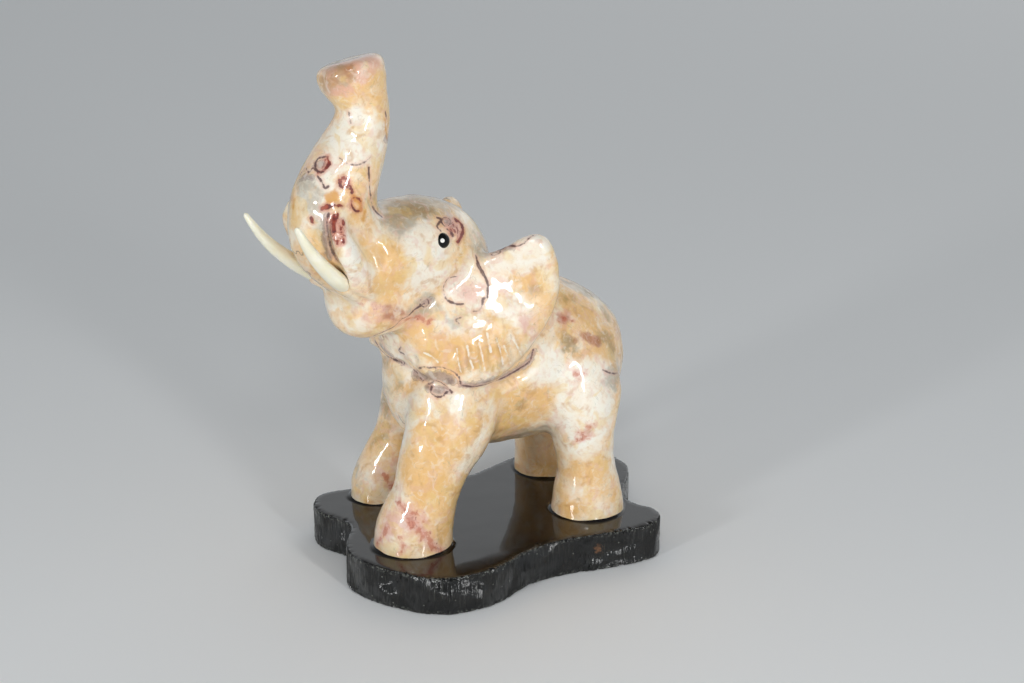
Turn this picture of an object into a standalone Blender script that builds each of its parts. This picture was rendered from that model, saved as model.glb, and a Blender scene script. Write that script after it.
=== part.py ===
"""Marble elephant figurine: one carved elephant with its trunk raised, two inset tusks, two bead eyes and a
sawn plinth of black stone. Metres, +Z up. The elephant faces -Y and its left side is +X. The origin is on
the plinth's underside, below the elephant's midline."""

import math

import bmesh
import bpy
from mathutils import Matrix, Vector
from mathutils.bvhtree import BVHTree

# Driving dimensions of the elephant. Every station of the carving is a share of it.
FIGURE_HEIGHT = 0.0895
HEAD_TURN = math.radians(8)

# Driving dimensions of the plinth
PLINTH_THICKNESS = 0.0074
PLINTH_EDGE_ROUNDING = 0.0005
PLINTH_WIDTH = 0.0441
PLINTH_LENGTH = 0.0640
PLINTH_CENTRE = (0.0038, 0.0004)

# Driving dimensions of the inset pieces. The seat's way is forward, out from the midline, and up.
TUSK_ROOT_RADIUS = 0.0017
TUSK_TIP_RADIUS = 0.0006
TUSK_SEAT_DEPTH = 0.0035
TUSK_SEAT_WAY = (-0.75, -0.5, -0.43)
EYE_RADIUS = 0.00135
EYE_STANDS_PROUD = 0.0008

# Clearance between pieces that touch
SEAT_GAP = 0.0003

# Fineness of the carving
CARVING_GRAIN = 0.0007
POLISHING_PASSES = 10
CARVED_FACES = 6400

# One part of the carved height: the tables below count in these, and they come to about a millimetre each
PART_OF_HEIGHT = FIGURE_HEIGHT / 89.5
PLINTH_TOP = PLINTH_THICKNESS
SOLE_LEVEL = PLINTH_TOP + SEAT_GAP

# Where the head turns on the neck, in parts of the height: left, back, up from the soles
NECK_PIVOT = Vector((0, -6, 0))

# Body stations: back, height of centre, half width, half height
TORSO = [
    (-19, 29.5, 4, 6),
    (-17, 29.3, 7.5, 10),
    (-13, 29, 10.6, 14),
    (-6, 29, 12.4, 16.2),
    (2, 28.8, 13, 16.4),
    (9, 28, 13.2, 15.8),
    (15, 26.8, 12.8, 14.2),
    (20, 25.4, 11.2, 12),
    (24, 24.2, 8.2, 9),
    (26.6, 23.6, 4.2, 4.8),
]

# Neck stations: back, height, half width, half depth
NECK = [
    (-6, 30, 11.2, 12.8),
    (-8.8, 36.5, 10.4, 11.8),
    (-10.6, 42.5, 9.8, 11.2),
    (-12, 48.5, 8.6, 9),
]

# Leg stations: left, back, height, half width, half depth. The lowest lies below the cut of the sole.
LEFT_FORELEG = [
    (9.4, -19.7, -2, 7.3, 7.6),
    (9.4, -19.7, 0, 7.1, 7.4),
    (9.5, -19.3, 3, 6.7, 7.1),
    (9.7, -18.2, 6.4, 6.2, 6.6),
    (9.8, -17.3, 9, 5.8, 6.1),
    (9.8, -16.3, 12.2, 5.8, 6.4),
    (9.6, -15, 15.5, 6, 7),
    (9.2, -12.7, 19.5, 6.4, 8.2),
    (8.6, -10.6, 24, 6.4, 8.8),
    (7.8, -8.8, 30, 6, 8.4),
    (7, -8, 35, 4.8, 6.8),
]
RIGHT_FORELEG = [
    (-12.4, -16.4, -2, 5.3, 5.7),
    (-12.4, -16.4, 0, 5.2, 5.5),
    (-12.4, -15.9, 3, 5.1, 5.5),
    (-12.2, -13.8, 7.5, 4.9, 5.3),
    (-12, -12, 10.4, 5, 5.2),
    (-11.7, -11, 13.6, 5.2, 5.4),
    (-11.2, -9.9, 17, 5.6, 6.1),
    (-10, -8.4, 23, 6, 7),
    (-8.2, -7.8, 30, 5.6, 7.4),
    (-7, -7.6, 35, 4.6, 6.4),
]
LEFT_HIND_LEG = [
    (11, 15.6, -2, 7, 7.3),
    (11, 15.6, 0, 6.8, 7.1),
    (11, 15.5, 3, 6.3, 6.6),
    (11, 15.3, 7.5, 5.5, 5.6),
    (11, 14.9, 11, 5.3, 5.4),
    (10.8, 14.6, 15.7, 5.8, 6),
    (10.2, 14.6, 19.5, 6.4, 7.4),
    (9.4, 14.4, 24, 6.4, 8.2),
    (7.4, 13.4, 30, 6, 7.6),
]
RIGHT_HIND_LEG = [
    (-9, 18, -2, 6.6, 6.8),
    (-9, 18, 0, 6.4, 6.6),
    (-9, 17.7, 3, 6.1, 6.2),
    (-9.2, 17, 7.5, 5.4, 5.5),
    (-9.4, 16.5, 11, 5.3, 5.4),
    (-9.8, 15.6, 15.7, 5.7, 6),
    (-9.8, 15, 19.5, 6.2, 7.2),
    (-9.2, 14.4, 24, 6.4, 8.2),
    (-7.4, 13.4, 30, 6, 7.6),
]

# Tail stations, low relief down the rump: left, back, height, half width, half depth
TAIL = [
    (0, 20, 37, 1.4, 1.4),
    (0, 24, 33.2, 1.7, 1.7),
    (0.2, 26.4, 28, 1.7, 1.7),
    (0.5, 26.7, 22.5, 1.6, 1.6),
    (0.8, 25, 17.4, 1.9, 1.8),
    (1, 22, 14.2, 1.4, 1.3),
]

# Head stations, in the head's own frame: forward, height, half width, half depth. The trunk leans and the jaw
# is a little to the left, so their rows have the distance out from the midline after forward.
SKULL = [
    (-3.6, 44.8, 4.6, 4.4),
    (-0.6, 47.1, 7.4, 7.2),
    (4, 50.3, 8.9, 9.6),
    (9.5, 52.3, 9.6, 10),
    (15.5, 53.4, 9.4, 8.8),
    (21, 54.8, 8.8, 7.6),
]
TRUNK = [
    (14, 0, 52.4, 8, 8),
    (20.5, 0, 54.4, 7.8, 8.4),
    (24.4, 0, 58.2, 7.4, 8.6),
    (25.2, 0, 62.4, 7, 8.1),
    (24.4, 0, 66, 6.7, 7.4),
    (22.9, 0, 69.2, 6.3, 6.8),
    (21.3, 0, 72, 5.9, 6.1),
    (19.9, 0, 74.8, 5.3, 5.5),
    (18.8, 0, 77.6, 4.8, 4.9),
    (18.6, 0, 79.7, 4.5, 4.6),
    (19, -0.2, 81.8, 4.7, 4.9),
    (19.6, -0.6, 83.8, 5.5, 5.7),
    (20.1, -1.1, 85.7, 6, 6.3),
    (20.3, -1.6, 87.3, 5.8, 6),
    (20.4, -1.8, 88, 4.4, 4.6),
]
JAW = [
    (7, 0, 47, 7.2, 6.6),
    (13, 0.2, 46, 7.6, 6.8),
    (18.5, 0.5, 45.6, 7.5, 7),
    (22, 0.9, 46.2, 6.8, 7),
    (24, 1.3, 46.4, 5.5, 6),
    (24.9, 1.5, 46.5, 3.8, 4.2),
]

# The swelling over each tusk's root: forward, out from the midline, height, half width, half depth
TUSK_SHEATH = [
    (28, 4.8, 65.2, 2, 2.2),
    (28, 5.4, 61.6, 2.8, 2.9),
    (27.2, 6, 58, 3, 3.2),
    (25.8, 6.3, 54.6, 2.9, 3.4),
    (24.2, 6, 51.6, 2.7, 3.2),
    (22.4, 5.4, 49.2, 2.5, 3),
    (20.4, 4.8, 47.2, 2, 2.4),
]

# Each ear's cage, from the top row down; a row runs from the cheek back to the free edge.
# Places are forward, out from the midline, height.
EAR_CAGE = [
    [(4, 6, 51.6), (0.5, 9.4, 52.6), (-3, 11.8, 53.8),
     (-5.6, 14, 55.9), (-8, 15.4, 56.3), (-9.8, 16, 54.6)],
    [(5.5, 7, 49.4), (2, 10, 50), (-1.5, 11.6, 50),
     (-5.2, 13.6, 50.8), (-8.8, 15.4, 51.4), (-11.6, 16.6, 50.6)],
    [(8.5, 8, 46.6), (4, 10.6, 46), (0, 12, 45.5),
     (-4.5, 13.8, 45.8), (-8.6, 15.6, 46.2), (-12, 17, 46.2)],
    [(13, 6, 44), (10.8, 8.8, 43.2), (6.5, 12, 41),
     (-0.5, 14.6, 40.3), (-6.8, 15.8, 40.8), (-11.2, 16.8, 41.4)],
    [(14.6, 3, 41.2), (13.8, 6.6, 40.8), (11.6, 10.8, 38.6),
     (5.5, 14.4, 37), (-2.5, 15.6, 36.4), (-8.9, 16, 37)],
    [(14.2, -0.5, 38.2), (14.6, 3.4, 37.6), (13.8, 8.8, 35.6),
     (9.5, 13.6, 33.8), (2.5, 15, 32.6), (-5.2, 15.2, 33.4)],
    [(13.2, -1.2, 35.4), (14.2, 2.2, 34.2), (14.2, 7, 32.2),
     (12.2, 12.4, 30.4), (5.5, 15, 28.8), (-1.6, 15, 31)],
]
EAR_THICKNESS = 3.4

# Tusk lines: forward, out, height, share of the root's radius. The right tusk droops a little more.
LEFT_TUSK_LINE = [
    (27.1, 5.3, 51.4, 1),
    (30.5, 6.5, 54.4, 0.92),
    (34.2, 7.4, 58.8, 0.68),
    (37.4, 8.2, 64, 0),
]
RIGHT_TUSK_LINE = [
    (27.1, -5.3, 50.7, 1),
    (30.7, -6.5, 53.4, 0.92),
    (34.6, -7.4, 57.4, 0.68),
    (37.9, -8.2, 62.4, 0),
]

# Where the eye bead sits on the side of the head: forward, height
EYE_PLACE = (8.3, 56.2)

# The plinth's outline from the front right lobe round by the left side, in shares of half its width and
# half its length
PLINTH_OUTLINE = [
    (-0.975, -0.669),
    (-0.998, -0.781),
    (-0.939, -0.869),
    (-0.689, -0.934),
    (-0.426, -0.866),
    (-0.317, -0.844),
    (-0.118, -0.919),
    (0.141, -1.000),
    (0.354, -0.981),
    (0.694, -0.859),
    (0.934, -0.697),
    (1.002, -0.516),
    (0.966, -0.325),
    (0.825, -0.106),
    (0.789, 0.113),
    (0.844, 0.394),
    (0.871, 0.628),
    (0.807, 0.769),
    (0.626, 0.819),
    (0.435, 0.756),
    (0.259, 0.763),
    (0.032, 0.863),
    (-0.172, 0.963),
    (-0.345, 1.000),
    (-0.649, 0.944),
    (-0.853, 0.800),
    (-0.925, 0.613),
    (-0.898, 0.425),
    (-0.816, 0.253),
    (-0.735, 0.019),
    (-0.789, -0.200),
    (-0.916, -0.450),
]

LOFT_SIDES = 28
STEPS_PER_STATION = 4


def clear_scene():
    for obj in list(bpy.data.objects):
        bpy.data.objects.remove(obj, do_unlink=True)


def collection_named(name):
    collection = bpy.data.collections.new(name)
    bpy.context.scene.collection.children.link(collection)
    return collection


def stone(name, colour, roughness):
    material = bpy.data.materials.new(name)
    material.use_nodes = True
    shader = material.node_tree.nodes["Principled BSDF"]
    shader.inputs["Base Color"].default_value = (*colour, 1)
    shader.inputs["Roughness"].default_value = roughness
    shader.inputs["Metallic"].default_value = 0
    return material


def new_object(name, data, collection, material=None):
    obj = bpy.data.objects.new(name, data)
    collection.objects.link(obj)
    if material:
        data.materials.append(material)
    return obj


def from_body(left, back, up):
    """A place on the body, in parts of the height, as a point in metres."""
    return Vector((left, back, up)) * PART_OF_HEIGHT + Vector((0, 0, SOLE_LEVEL))


def from_head(forward, out, up):
    """A place on the head, which turns on the neck, as a point in metres."""
    place = NECK_PIVOT + Matrix.Rotation(HEAD_TURN, 3, "Z") @ Vector((out, -forward, up))
    return from_body(*place)


def head_left():
    return Matrix.Rotation(HEAD_TURN, 3, "Z") @ Vector((1, 0, 0))


def eased(before, start, end, after, share):
    """Catmull-Rom value between start and end."""
    return 0.5 * (
        2 * start
        + (end - before) * share
        + (2 * before - 5 * start + 4 * end - after) * share**2
        + (3 * start - before - 3 * end + after) * share**3
    )


def smooth_stations(stations):
    """Stations (centre, half width, half depth) with smooth ones put between them."""
    last = len(stations) - 1
    found = []
    for i in range(last):
        near = [stations[max(i - 1, 0)], stations[i], stations[i + 1], stations[min(i + 2, last)]]
        for step in range(STEPS_PER_STATION):
            share = step / STEPS_PER_STATION
            found.append([eased(*(station[k] for station in near), share) for k in range(3)])
    found.append(list(stations[last]))
    return found


def loft(name, stations, across, collection):
    """A closed body of oval rings around a smooth path. `across` is the direction of each ring's width."""
    rings = smooth_stations(stations)
    mesh = bpy.data.meshes.new(name)
    shape = bmesh.new()
    made = []
    for i, (centre, half_width, half_depth) in enumerate(rings):
        ahead = rings[min(i + 1, len(rings) - 1)][0]
        behind = rings[max(i - 1, 0)][0]
        path = (ahead - behind).normalized()
        width_way = (across - path * across.dot(path)).normalized()
        depth_way = path.cross(width_way)
        ring = []
        for side in range(LOFT_SIDES):
            turn = 2 * math.pi * side / LOFT_SIDES
            offset = width_way * half_width * math.cos(turn) + depth_way * half_depth * math.sin(turn)
            ring.append(shape.verts.new(centre + offset))
        made.append(ring)
    for lower, upper in zip(made, made[1:]):
        for side in range(LOFT_SIDES):
            following = (side + 1) % LOFT_SIDES
            shape.faces.new((lower[side], lower[following], upper[following], upper[side]))
    shape.faces.new(list(reversed(made[0])))
    shape.faces.new(made[-1])
    bmesh.ops.recalc_face_normals(shape, faces=shape.faces)
    shape.to_mesh(mesh)
    shape.free()
    return new_object(name, mesh, collection)


def body_loft(name, rows, collection):
    """A loft from rows of left, back, height, half width, half depth."""
    stations = [
        (from_body(left, back, up), wide * PART_OF_HEIGHT, deep * PART_OF_HEIGHT)
        for left, back, up, wide, deep in rows
    ]
    return loft(name, stations, Vector((1, 0, 0)), collection)


def midline_loft(name, rows, collection):
    """A loft on the body's midline from rows of back, height, half width, half depth."""
    return body_loft(name, [(0, *row) for row in rows], collection)


def head_loft(name, rows, collection):
    """A loft on the head from rows of forward, out, height, half width, half depth."""
    stations = [
        (from_head(forward, out, up), wide * PART_OF_HEIGHT, deep * PART_OF_HEIGHT)
        for forward, out, up, wide, deep in rows
    ]
    return loft(name, stations, head_left(), collection)


def head_midline_loft(name, rows, collection):
    return head_loft(name, [(row[0], 0, *row[1:]) for row in rows], collection)


def ear(name, side, collection):
    """One ear as a dished flap: a coarse cage, thickened and then rounded."""
    mesh = bpy.data.meshes.new(name)
    shape = bmesh.new()
    grid = [[shape.verts.new(from_head(f, side * out, up)) for f, out, up in row] for row in EAR_CAGE]
    for upper, lower in zip(grid, grid[1:]):
        for i in range(len(upper) - 1):
            corners = (upper[i], lower[i], lower[i + 1], upper[i + 1])
            shape.faces.new(corners if side > 0 else tuple(reversed(corners)))
    shape.to_mesh(mesh)
    shape.free()
    obj = new_object(name, mesh, collection)
    thick = obj.modifiers.new("Thickness", "SOLIDIFY")
    thick.thickness = EAR_THICKNESS * PART_OF_HEIGHT
    thick.offset = -1
    rounded = obj.modifiers.new("Rounding", "SUBSURF")
    rounded.levels = rounded.render_levels = 2
    return obj


def mesh_of(obj, name):
    """The evaluated object as a welded mesh with its place in its points."""
    bpy.context.view_layer.update()
    graph = bpy.context.evaluated_depsgraph_get()
    mesh = bpy.data.meshes.new_from_object(obj.evaluated_get(graph))
    mesh.name = name
    mesh.transform(obj.matrix_world)
    shape = bmesh.new()
    shape.from_mesh(mesh)
    bmesh.ops.remove_doubles(shape, verts=shape.verts, dist=1e-7)
    bmesh.ops.recalc_face_normals(shape, faces=shape.faces)
    shape.to_mesh(mesh)
    shape.free()
    return mesh


def carving_masses(rough):
    """The masses that a carver would block out, each as a closed body."""
    masses = [
        midline_loft("torso", TORSO, rough),
        midline_loft("neck", NECK, rough),
        body_loft("left_foreleg", LEFT_FORELEG, rough),
        body_loft("right_foreleg", RIGHT_FORELEG, rough),
        body_loft("left_hind_leg", LEFT_HIND_LEG, rough),
        body_loft("right_hind_leg", RIGHT_HIND_LEG, rough),
        body_loft("tail", TAIL, rough),
        head_midline_loft("skull", SKULL, rough),
        head_loft("trunk", TRUNK, rough),
        head_loft("jaw", JAW, rough),
    ]
    for side, word in ((1, "left"), (-1, "right")):
        sheath = [(row[0], side * row[1], *row[2:]) for row in TUSK_SHEATH]
        masses.append(head_loft(word + "_tusk_sheath", sheath, rough))
        masses.append(ear(word + "_ear", side, rough))
    return masses


def joined(name, pieces, collection, material):
    """One mesh object of several pieces, which may run into each other."""
    shape = bmesh.new()
    for piece in pieces:
        mesh = mesh_of(piece, piece.name + "_shape")
        shape.from_mesh(mesh)
        bpy.data.meshes.remove(mesh)
    mesh = bpy.data.meshes.new(name)
    shape.to_mesh(mesh)
    shape.free()
    return new_object(name, mesh, collection, material)


def cut(obj, cutter):
    boolean = obj.modifiers.new("Cut " + cutter.name, "BOOLEAN")
    boolean.operation = "DIFFERENCE"
    boolean.object = cutter
    boolean.solver = "EXACT"


def as_cutter(obj):
    obj.hide_render = True
    obj.display_type = "WIRE"
    return obj


def sole_cutter(cutters):
    """A slab whose top is level with the soles."""
    width = 2 * PLINTH_WIDTH
    length = 2 * PLINTH_LENGTH
    depth = 4 * PLINTH_THICKNESS
    mesh = bpy.data.meshes.new("sole_cut")
    shape = bmesh.new()
    bmesh.ops.create_cube(shape, size=1)
    bmesh.ops.scale(shape, vec=(width, length, depth), verts=shape.verts)
    bmesh.ops.translate(shape, vec=(0, 0, SOLE_LEVEL - depth / 2), verts=shape.verts)
    shape.to_mesh(mesh)
    shape.free()
    return as_cutter(new_object("sole_cut", mesh, cutters))


def carve_elephant(rough, parts, cutters, material):
    """The masses fused into one stone, polished, and cut flat under the feet."""
    elephant = joined("elephant", carving_masses(rough), parts, material)
    fused = elephant.modifiers.new("Fuse the masses", "REMESH")
    fused.mode = "VOXEL"
    fused.voxel_size = CARVING_GRAIN
    polished = elephant.modifiers.new("Polish", "SMOOTH")
    polished.factor = 0.5
    polished.iterations = POLISHING_PASSES
    bpy.context.view_layer.update()
    graph = bpy.context.evaluated_depsgraph_get()
    face_count = len(elephant.evaluated_get(graph).data.polygons)
    fewer = elephant.modifiers.new("Fewer faces", "DECIMATE")
    fewer.ratio = min(1, CARVED_FACES / (2 * face_count))
    cut(elephant, sole_cutter(cutters))
    return elephant


def tusk_curve(name, line, extra_radius, extra_depth, collection):
    """A tusk as a tapered bevelled curve. Its root bends into the head, as deep as its seat."""
    forward, out, up = line[0][:3]
    side = math.copysign(1, out)
    depth = (TUSK_SEAT_DEPTH + extra_depth) / PART_OF_HEIGHT
    seat_end = (
        forward + TUSK_SEAT_WAY[0] * depth,
        out + side * TUSK_SEAT_WAY[1] * depth,
        up + TUSK_SEAT_WAY[2] * depth,
    )
    places = [from_head(*seat_end)] + [from_head(*row[:3]) for row in line]
    shares = [1.0] + [row[3] for row in line]
    data = bpy.data.curves.new(name, "CURVE")
    data.dimensions = "3D"
    data.bevel_depth = 1
    data.bevel_resolution = 3
    data.resolution_u = 4
    data.use_fill_caps = True
    spline = data.splines.new("BEZIER")
    spline.bezier_points.add(len(places) - 1)
    for point, place, share in zip(spline.bezier_points, places, shares):
        point.co = place
        point.radius = TUSK_TIP_RADIUS + (TUSK_ROOT_RADIUS - TUSK_TIP_RADIUS) * share + extra_radius
        point.handle_left_type = point.handle_right_type = "AUTO"
    return new_object(name, data, collection)


def make_tusk(name, line, elephant, parts, cutters, material):
    """A tusk, and its drilled seat in the elephant."""
    tusk = tusk_curve(name, line, 0, 0, parts)
    tusk.data.materials.append(material)
    wide = tusk_curve(name + "_seat_line", line, SEAT_GAP, SEAT_GAP, cutters)
    seat = as_cutter(new_object(name + "_seat", mesh_of(wide, name + "_seat"), cutters))
    bpy.data.objects.remove(wide)
    cut(elephant, seat)
    return tusk


def ball(name, centre, radius, collection, material=None):
    mesh = bpy.data.meshes.new(name)
    shape = bmesh.new()
    bmesh.ops.create_uvsphere(shape, u_segments=18, v_segments=10, radius=radius)
    shape.to_mesh(mesh)
    shape.free()
    mesh.shade_smooth()
    obj = new_object(name, mesh, collection, material)
    obj.location = centre
    return obj


def eye_centre(side, surface):
    """The bead's centre, set back from the side of the head where the carver drilled for it."""
    outside = from_head(EYE_PLACE[0], side * FIGURE_HEIGHT / PART_OF_HEIGHT, EYE_PLACE[1])
    inward = -side * head_left()
    hit, normal, _, _ = surface.ray_cast(outside, inward)
    return hit + normal * (EYE_STANDS_PROUD - EYE_RADIUS)


def make_eye(name, side, elephant, surface, parts, cutters, material):
    """An eye bead, and its drilled seat in the elephant."""
    centre = eye_centre(side, surface)
    eye = ball(name, centre, EYE_RADIUS, parts, material)
    seat = as_cutter(ball(name + "_seat", centre, EYE_RADIUS + SEAT_GAP, cutters))
    cut(elephant, seat)
    return eye


def make_plinth(parts, material):
    """The sawn plinth: a closed wavy outline with a slightly rounded edge."""
    data = bpy.data.curves.new("plinth", "CURVE")
    data.dimensions = "2D"
    data.fill_mode = "BOTH"
    data.extrude = PLINTH_THICKNESS / 2 - PLINTH_EDGE_ROUNDING
    data.bevel_depth = PLINTH_EDGE_ROUNDING
    data.bevel_resolution = 1
    data.offset = -PLINTH_EDGE_ROUNDING
    data.resolution_u = 3
    spline = data.splines.new("BEZIER")
    spline.use_cyclic_u = True
    spline.bezier_points.add(len(PLINTH_OUTLINE) - 1)
    for point, (left, back) in zip(spline.bezier_points, PLINTH_OUTLINE):
        point.co = (left * PLINTH_WIDTH / 2, back * PLINTH_LENGTH / 2, 0)
        point.handle_left_type = point.handle_right_type = "AUTO"
    plinth = new_object("plinth", data, parts, material)
    plinth.location = (*PLINTH_CENTRE, PLINTH_THICKNESS / 2)
    return plinth


def main():
    clear_scene()
    rough = collection_named("carving masses")
    rough.hide_render = True
    parts = collection_named("marble elephant figurine")
    cutters = collection_named("cutters")
    onyx = stone("honey onyx marble", (0.80, 0.62, 0.42), 0.12)
    ivory = stone("ivory-white resin", (0.86, 0.83, 0.66), 0.3)
    glass = stone("black glass", (0.004, 0.004, 0.004), 0.05)
    slate = stone("lacquered black stone", (0.012, 0.012, 0.011), 0.15)
    elephant = carve_elephant(rough, parts, cutters, onyx)
    surface = BVHTree.FromObject(elephant, bpy.context.evaluated_depsgraph_get())
    make_tusk("tusk_left", LEFT_TUSK_LINE, elephant, parts, cutters, ivory)
    make_tusk("tusk_right", RIGHT_TUSK_LINE, elephant, parts, cutters, ivory)
    make_eye("eye_left", 1, elephant, surface, parts, cutters, glass)
    make_eye("eye_right", -1, elephant, surface, parts, cutters, glass)
    make_plinth(parts, slate)
    for mass in list(rough.objects):
        bpy.data.objects.remove(mass)


main()
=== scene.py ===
"""Dressing of the marble elephant figurine: the finely carved and lacquered stone, its inset tusks and bead
eyes, and the sawn plinth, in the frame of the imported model. Metres, +Z up, the elephant faces -Y."""

import math
from contextlib import contextmanager

import bmesh
import bpy
import numpy as np
from bpy.props import FloatProperty, FloatVectorProperty, IntProperty, PointerProperty
from mathutils import Matrix, Vector, noise
from mathutils.bvhtree import BVHTree
from mathutils.kdtree import KDTree


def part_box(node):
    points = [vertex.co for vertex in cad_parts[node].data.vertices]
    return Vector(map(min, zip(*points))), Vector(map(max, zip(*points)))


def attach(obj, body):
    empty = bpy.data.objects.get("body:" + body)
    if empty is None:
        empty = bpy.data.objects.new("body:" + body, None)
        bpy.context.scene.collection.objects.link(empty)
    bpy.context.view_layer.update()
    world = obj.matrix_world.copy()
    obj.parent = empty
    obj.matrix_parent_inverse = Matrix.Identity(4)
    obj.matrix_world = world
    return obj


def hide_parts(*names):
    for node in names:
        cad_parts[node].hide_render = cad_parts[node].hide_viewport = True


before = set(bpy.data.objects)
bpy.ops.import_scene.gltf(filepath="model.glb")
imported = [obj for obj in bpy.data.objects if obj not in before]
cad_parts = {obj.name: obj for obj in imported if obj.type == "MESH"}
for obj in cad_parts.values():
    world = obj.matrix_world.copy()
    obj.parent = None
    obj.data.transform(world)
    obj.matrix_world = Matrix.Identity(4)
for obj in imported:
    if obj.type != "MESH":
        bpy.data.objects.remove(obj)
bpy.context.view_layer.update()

bl_info = {
    "name": "Marble Elephant Figurine",
    "version": (1, 0, 0),
    "blender": (4, 5, 0),
    "location": "3D View > Sidebar > Elephant",
    "description": "Builds the carved stone, the inset pieces and the plinth of a small elephant figurine",
    "category": "Add Mesh",
}

MM = 0.001
UP = Vector((0, 0, 1))
PLINTH_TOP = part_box("plinth")[1].z
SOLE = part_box("elephant")[0].z

# The camera's place and its own axes. Places in the picture are counted across and down in a picture
# 1024 wide and 683 high.
CAMERA_PLACE = Vector((0.3518, -0.1815, 0.1915))
CAMERA_RIGHT = Vector((0.46947, 0.88295, 0))
CAMERA_BACK = Vector((0.82430, -0.43829, 0.35837))
CAMERA_UP = CAMERA_BACK.cross(CAMERA_RIGHT)
PICTURE_SIZE = (1024, 683)
FOCAL_PIXELS = 2322
SENSOR_WIDTH = 36

# The head's own frame: it turns on the neck by this much. Head places are forward, out, and up from the
# soles, in mm.
HEAD_TURN = math.radians(8)
HEAD_LEFT = Vector((math.cos(HEAD_TURN), math.sin(HEAD_TURN), 0))
HEAD_FORWARD = Vector((math.sin(HEAD_TURN), -math.cos(HEAD_TURN), 0))
NECK_PIVOT = Vector((0, -6 * MM, SOLE))

# The tusks' lines from root to tip, and the way that their seats run into the head: back, inward and down
LEFT_TUSK_LINE = [(27.1, 5.3, 51.4), (30.5, 6.5, 54.4), (34.2, 7.4, 58.8), (37.4, 8.2, 64)]
RIGHT_TUSK_LINE = [(27.1, -5.3, 50.7), (30.7, -6.5, 53.4), (34.6, -7.4, 57.4), (37.9, -8.2, 62.4)]
TUSK_SEAT_WAY = (-0.75, -0.5, -0.43)

# How deep the dressed tusks reach into their seats, in mm
TUSK_ROOT_DEPTH = 2.4

# Balls of stone that fill the drilled seats: how deep they lie and their radius, in mm
TUSK_PLUG_DEPTHS = (1.7, 2.5, 3.3)
TUSK_PLUG_RADIUS = 2.15
EYE_PLUG_DEPTH = 0.9
EYE_PLUG_RADIUS = 1.75

# The way that the eyes look, forward, out and up, the bead's radius as a share of its solid's width, how
# flat its face is, and how far the white drop stands proud
EYE_LOOKS = (0.42, 0.84, 0.33)
EYE_SHARE = 0.54
EYE_FLATNESS = 0.94
DROP_HEIGHT = 0.05 * MM

# The middle of each foot, in mm
FOOT_CENTRES = [(9.4, -19.7), (-12.4, -16.4), (11, 15.6), (-9, 18)]

# A brown mineral spot in the plinth's side, and the radius of the slab's worn edges
BROWN_SPOT = (0.0221, 0.0116, 0.0043)
SLAB_EDGE = 0.35 * MM

# How far outside a traced mark its haze may reach, in mm
HAZE_REACH = 1.5

# Cuts of the carving tool on the near side: half width and depth in mm, less than nothing where the stone is
# left proud, then places in the picture. The same cuts are made on the far side of the head.
HEAD_CUTS = [
    (1.8, -1.2, [(335, 222), (337, 234), (342, 247), (350, 259), (360, 270)]),
    (0.7, 1.3, [(332, 213), (328, 224), (328.5, 238), (331, 250), (335, 260), (342, 272), (350, 284)]),
    (1.4, 0.8, [(347, 217), (353, 230), (363, 243), (373, 256), (377, 268), (374, 282)]),
    (0.6, 0.55, [(351, 292), (362, 299.5), (372, 304), (384, 308), (395, 314)]),
    (0.7, 0.8, [(372, 337), (385, 332), (394, 327), (402, 320.5), (412, 312), (424, 304)]),
    (0.8, 0.45, [(368, 190), (370, 200), (374, 208), (380, 214), (387, 217)]),
    (1.1, -0.2, [(434, 234), (442, 229.5), (452, 231), (458, 239)]),
    (0.4, 0.3, [(434, 240), (437, 248), (444, 252), (451, 248), (453, 240), (447, 234.5), (438, 235),
        (434, 240)]),
]
EAR_CUTS = [
    (0.8, 0.75, [(377, 342), (384, 354), (392, 362), (402, 367), (415, 375), (428, 382), (445, 389.5),
        (461, 393)]),
    (0.8, 0.75, [(461, 393), (478, 391), (500, 386), (517, 378.5), (531, 369), (537, 357)]),
    (0.9, 0.5, [(540, 354), (549, 342), (558, 326), (563, 310), (566, 294)]),
    (1.2, -0.3, [(498, 253), (510, 249), (526, 241), (537, 243), (546, 254), (552, 268), (553, 285),
        (549, 310)]),
    (3.2, 0.35, [(512, 268), (520, 285), (512, 305)]),
    (1.0, 0.3, [(489, 252), (484, 262), (487, 275)]),
    (0.5, 0.28, [(468, 347), (470, 362), (473, 376)]),
    (0.45, 0.3, [(478, 342), (481, 360), (484, 379)]),
    (0.5, 0.3, [(488, 338), (491, 357), (494, 378)]),
    (0.45, 0.3, [(497, 336), (502, 355), (505, 375)]),
    (0.5, 0.26, [(507, 334), (513, 352), (517, 369)]),
    (0.45, 0.2, [(517, 330), (523, 347), (526, 360)]),
    (0.5, 0.2, [(458, 350), (458, 364), (461, 377)]),
]

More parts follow.
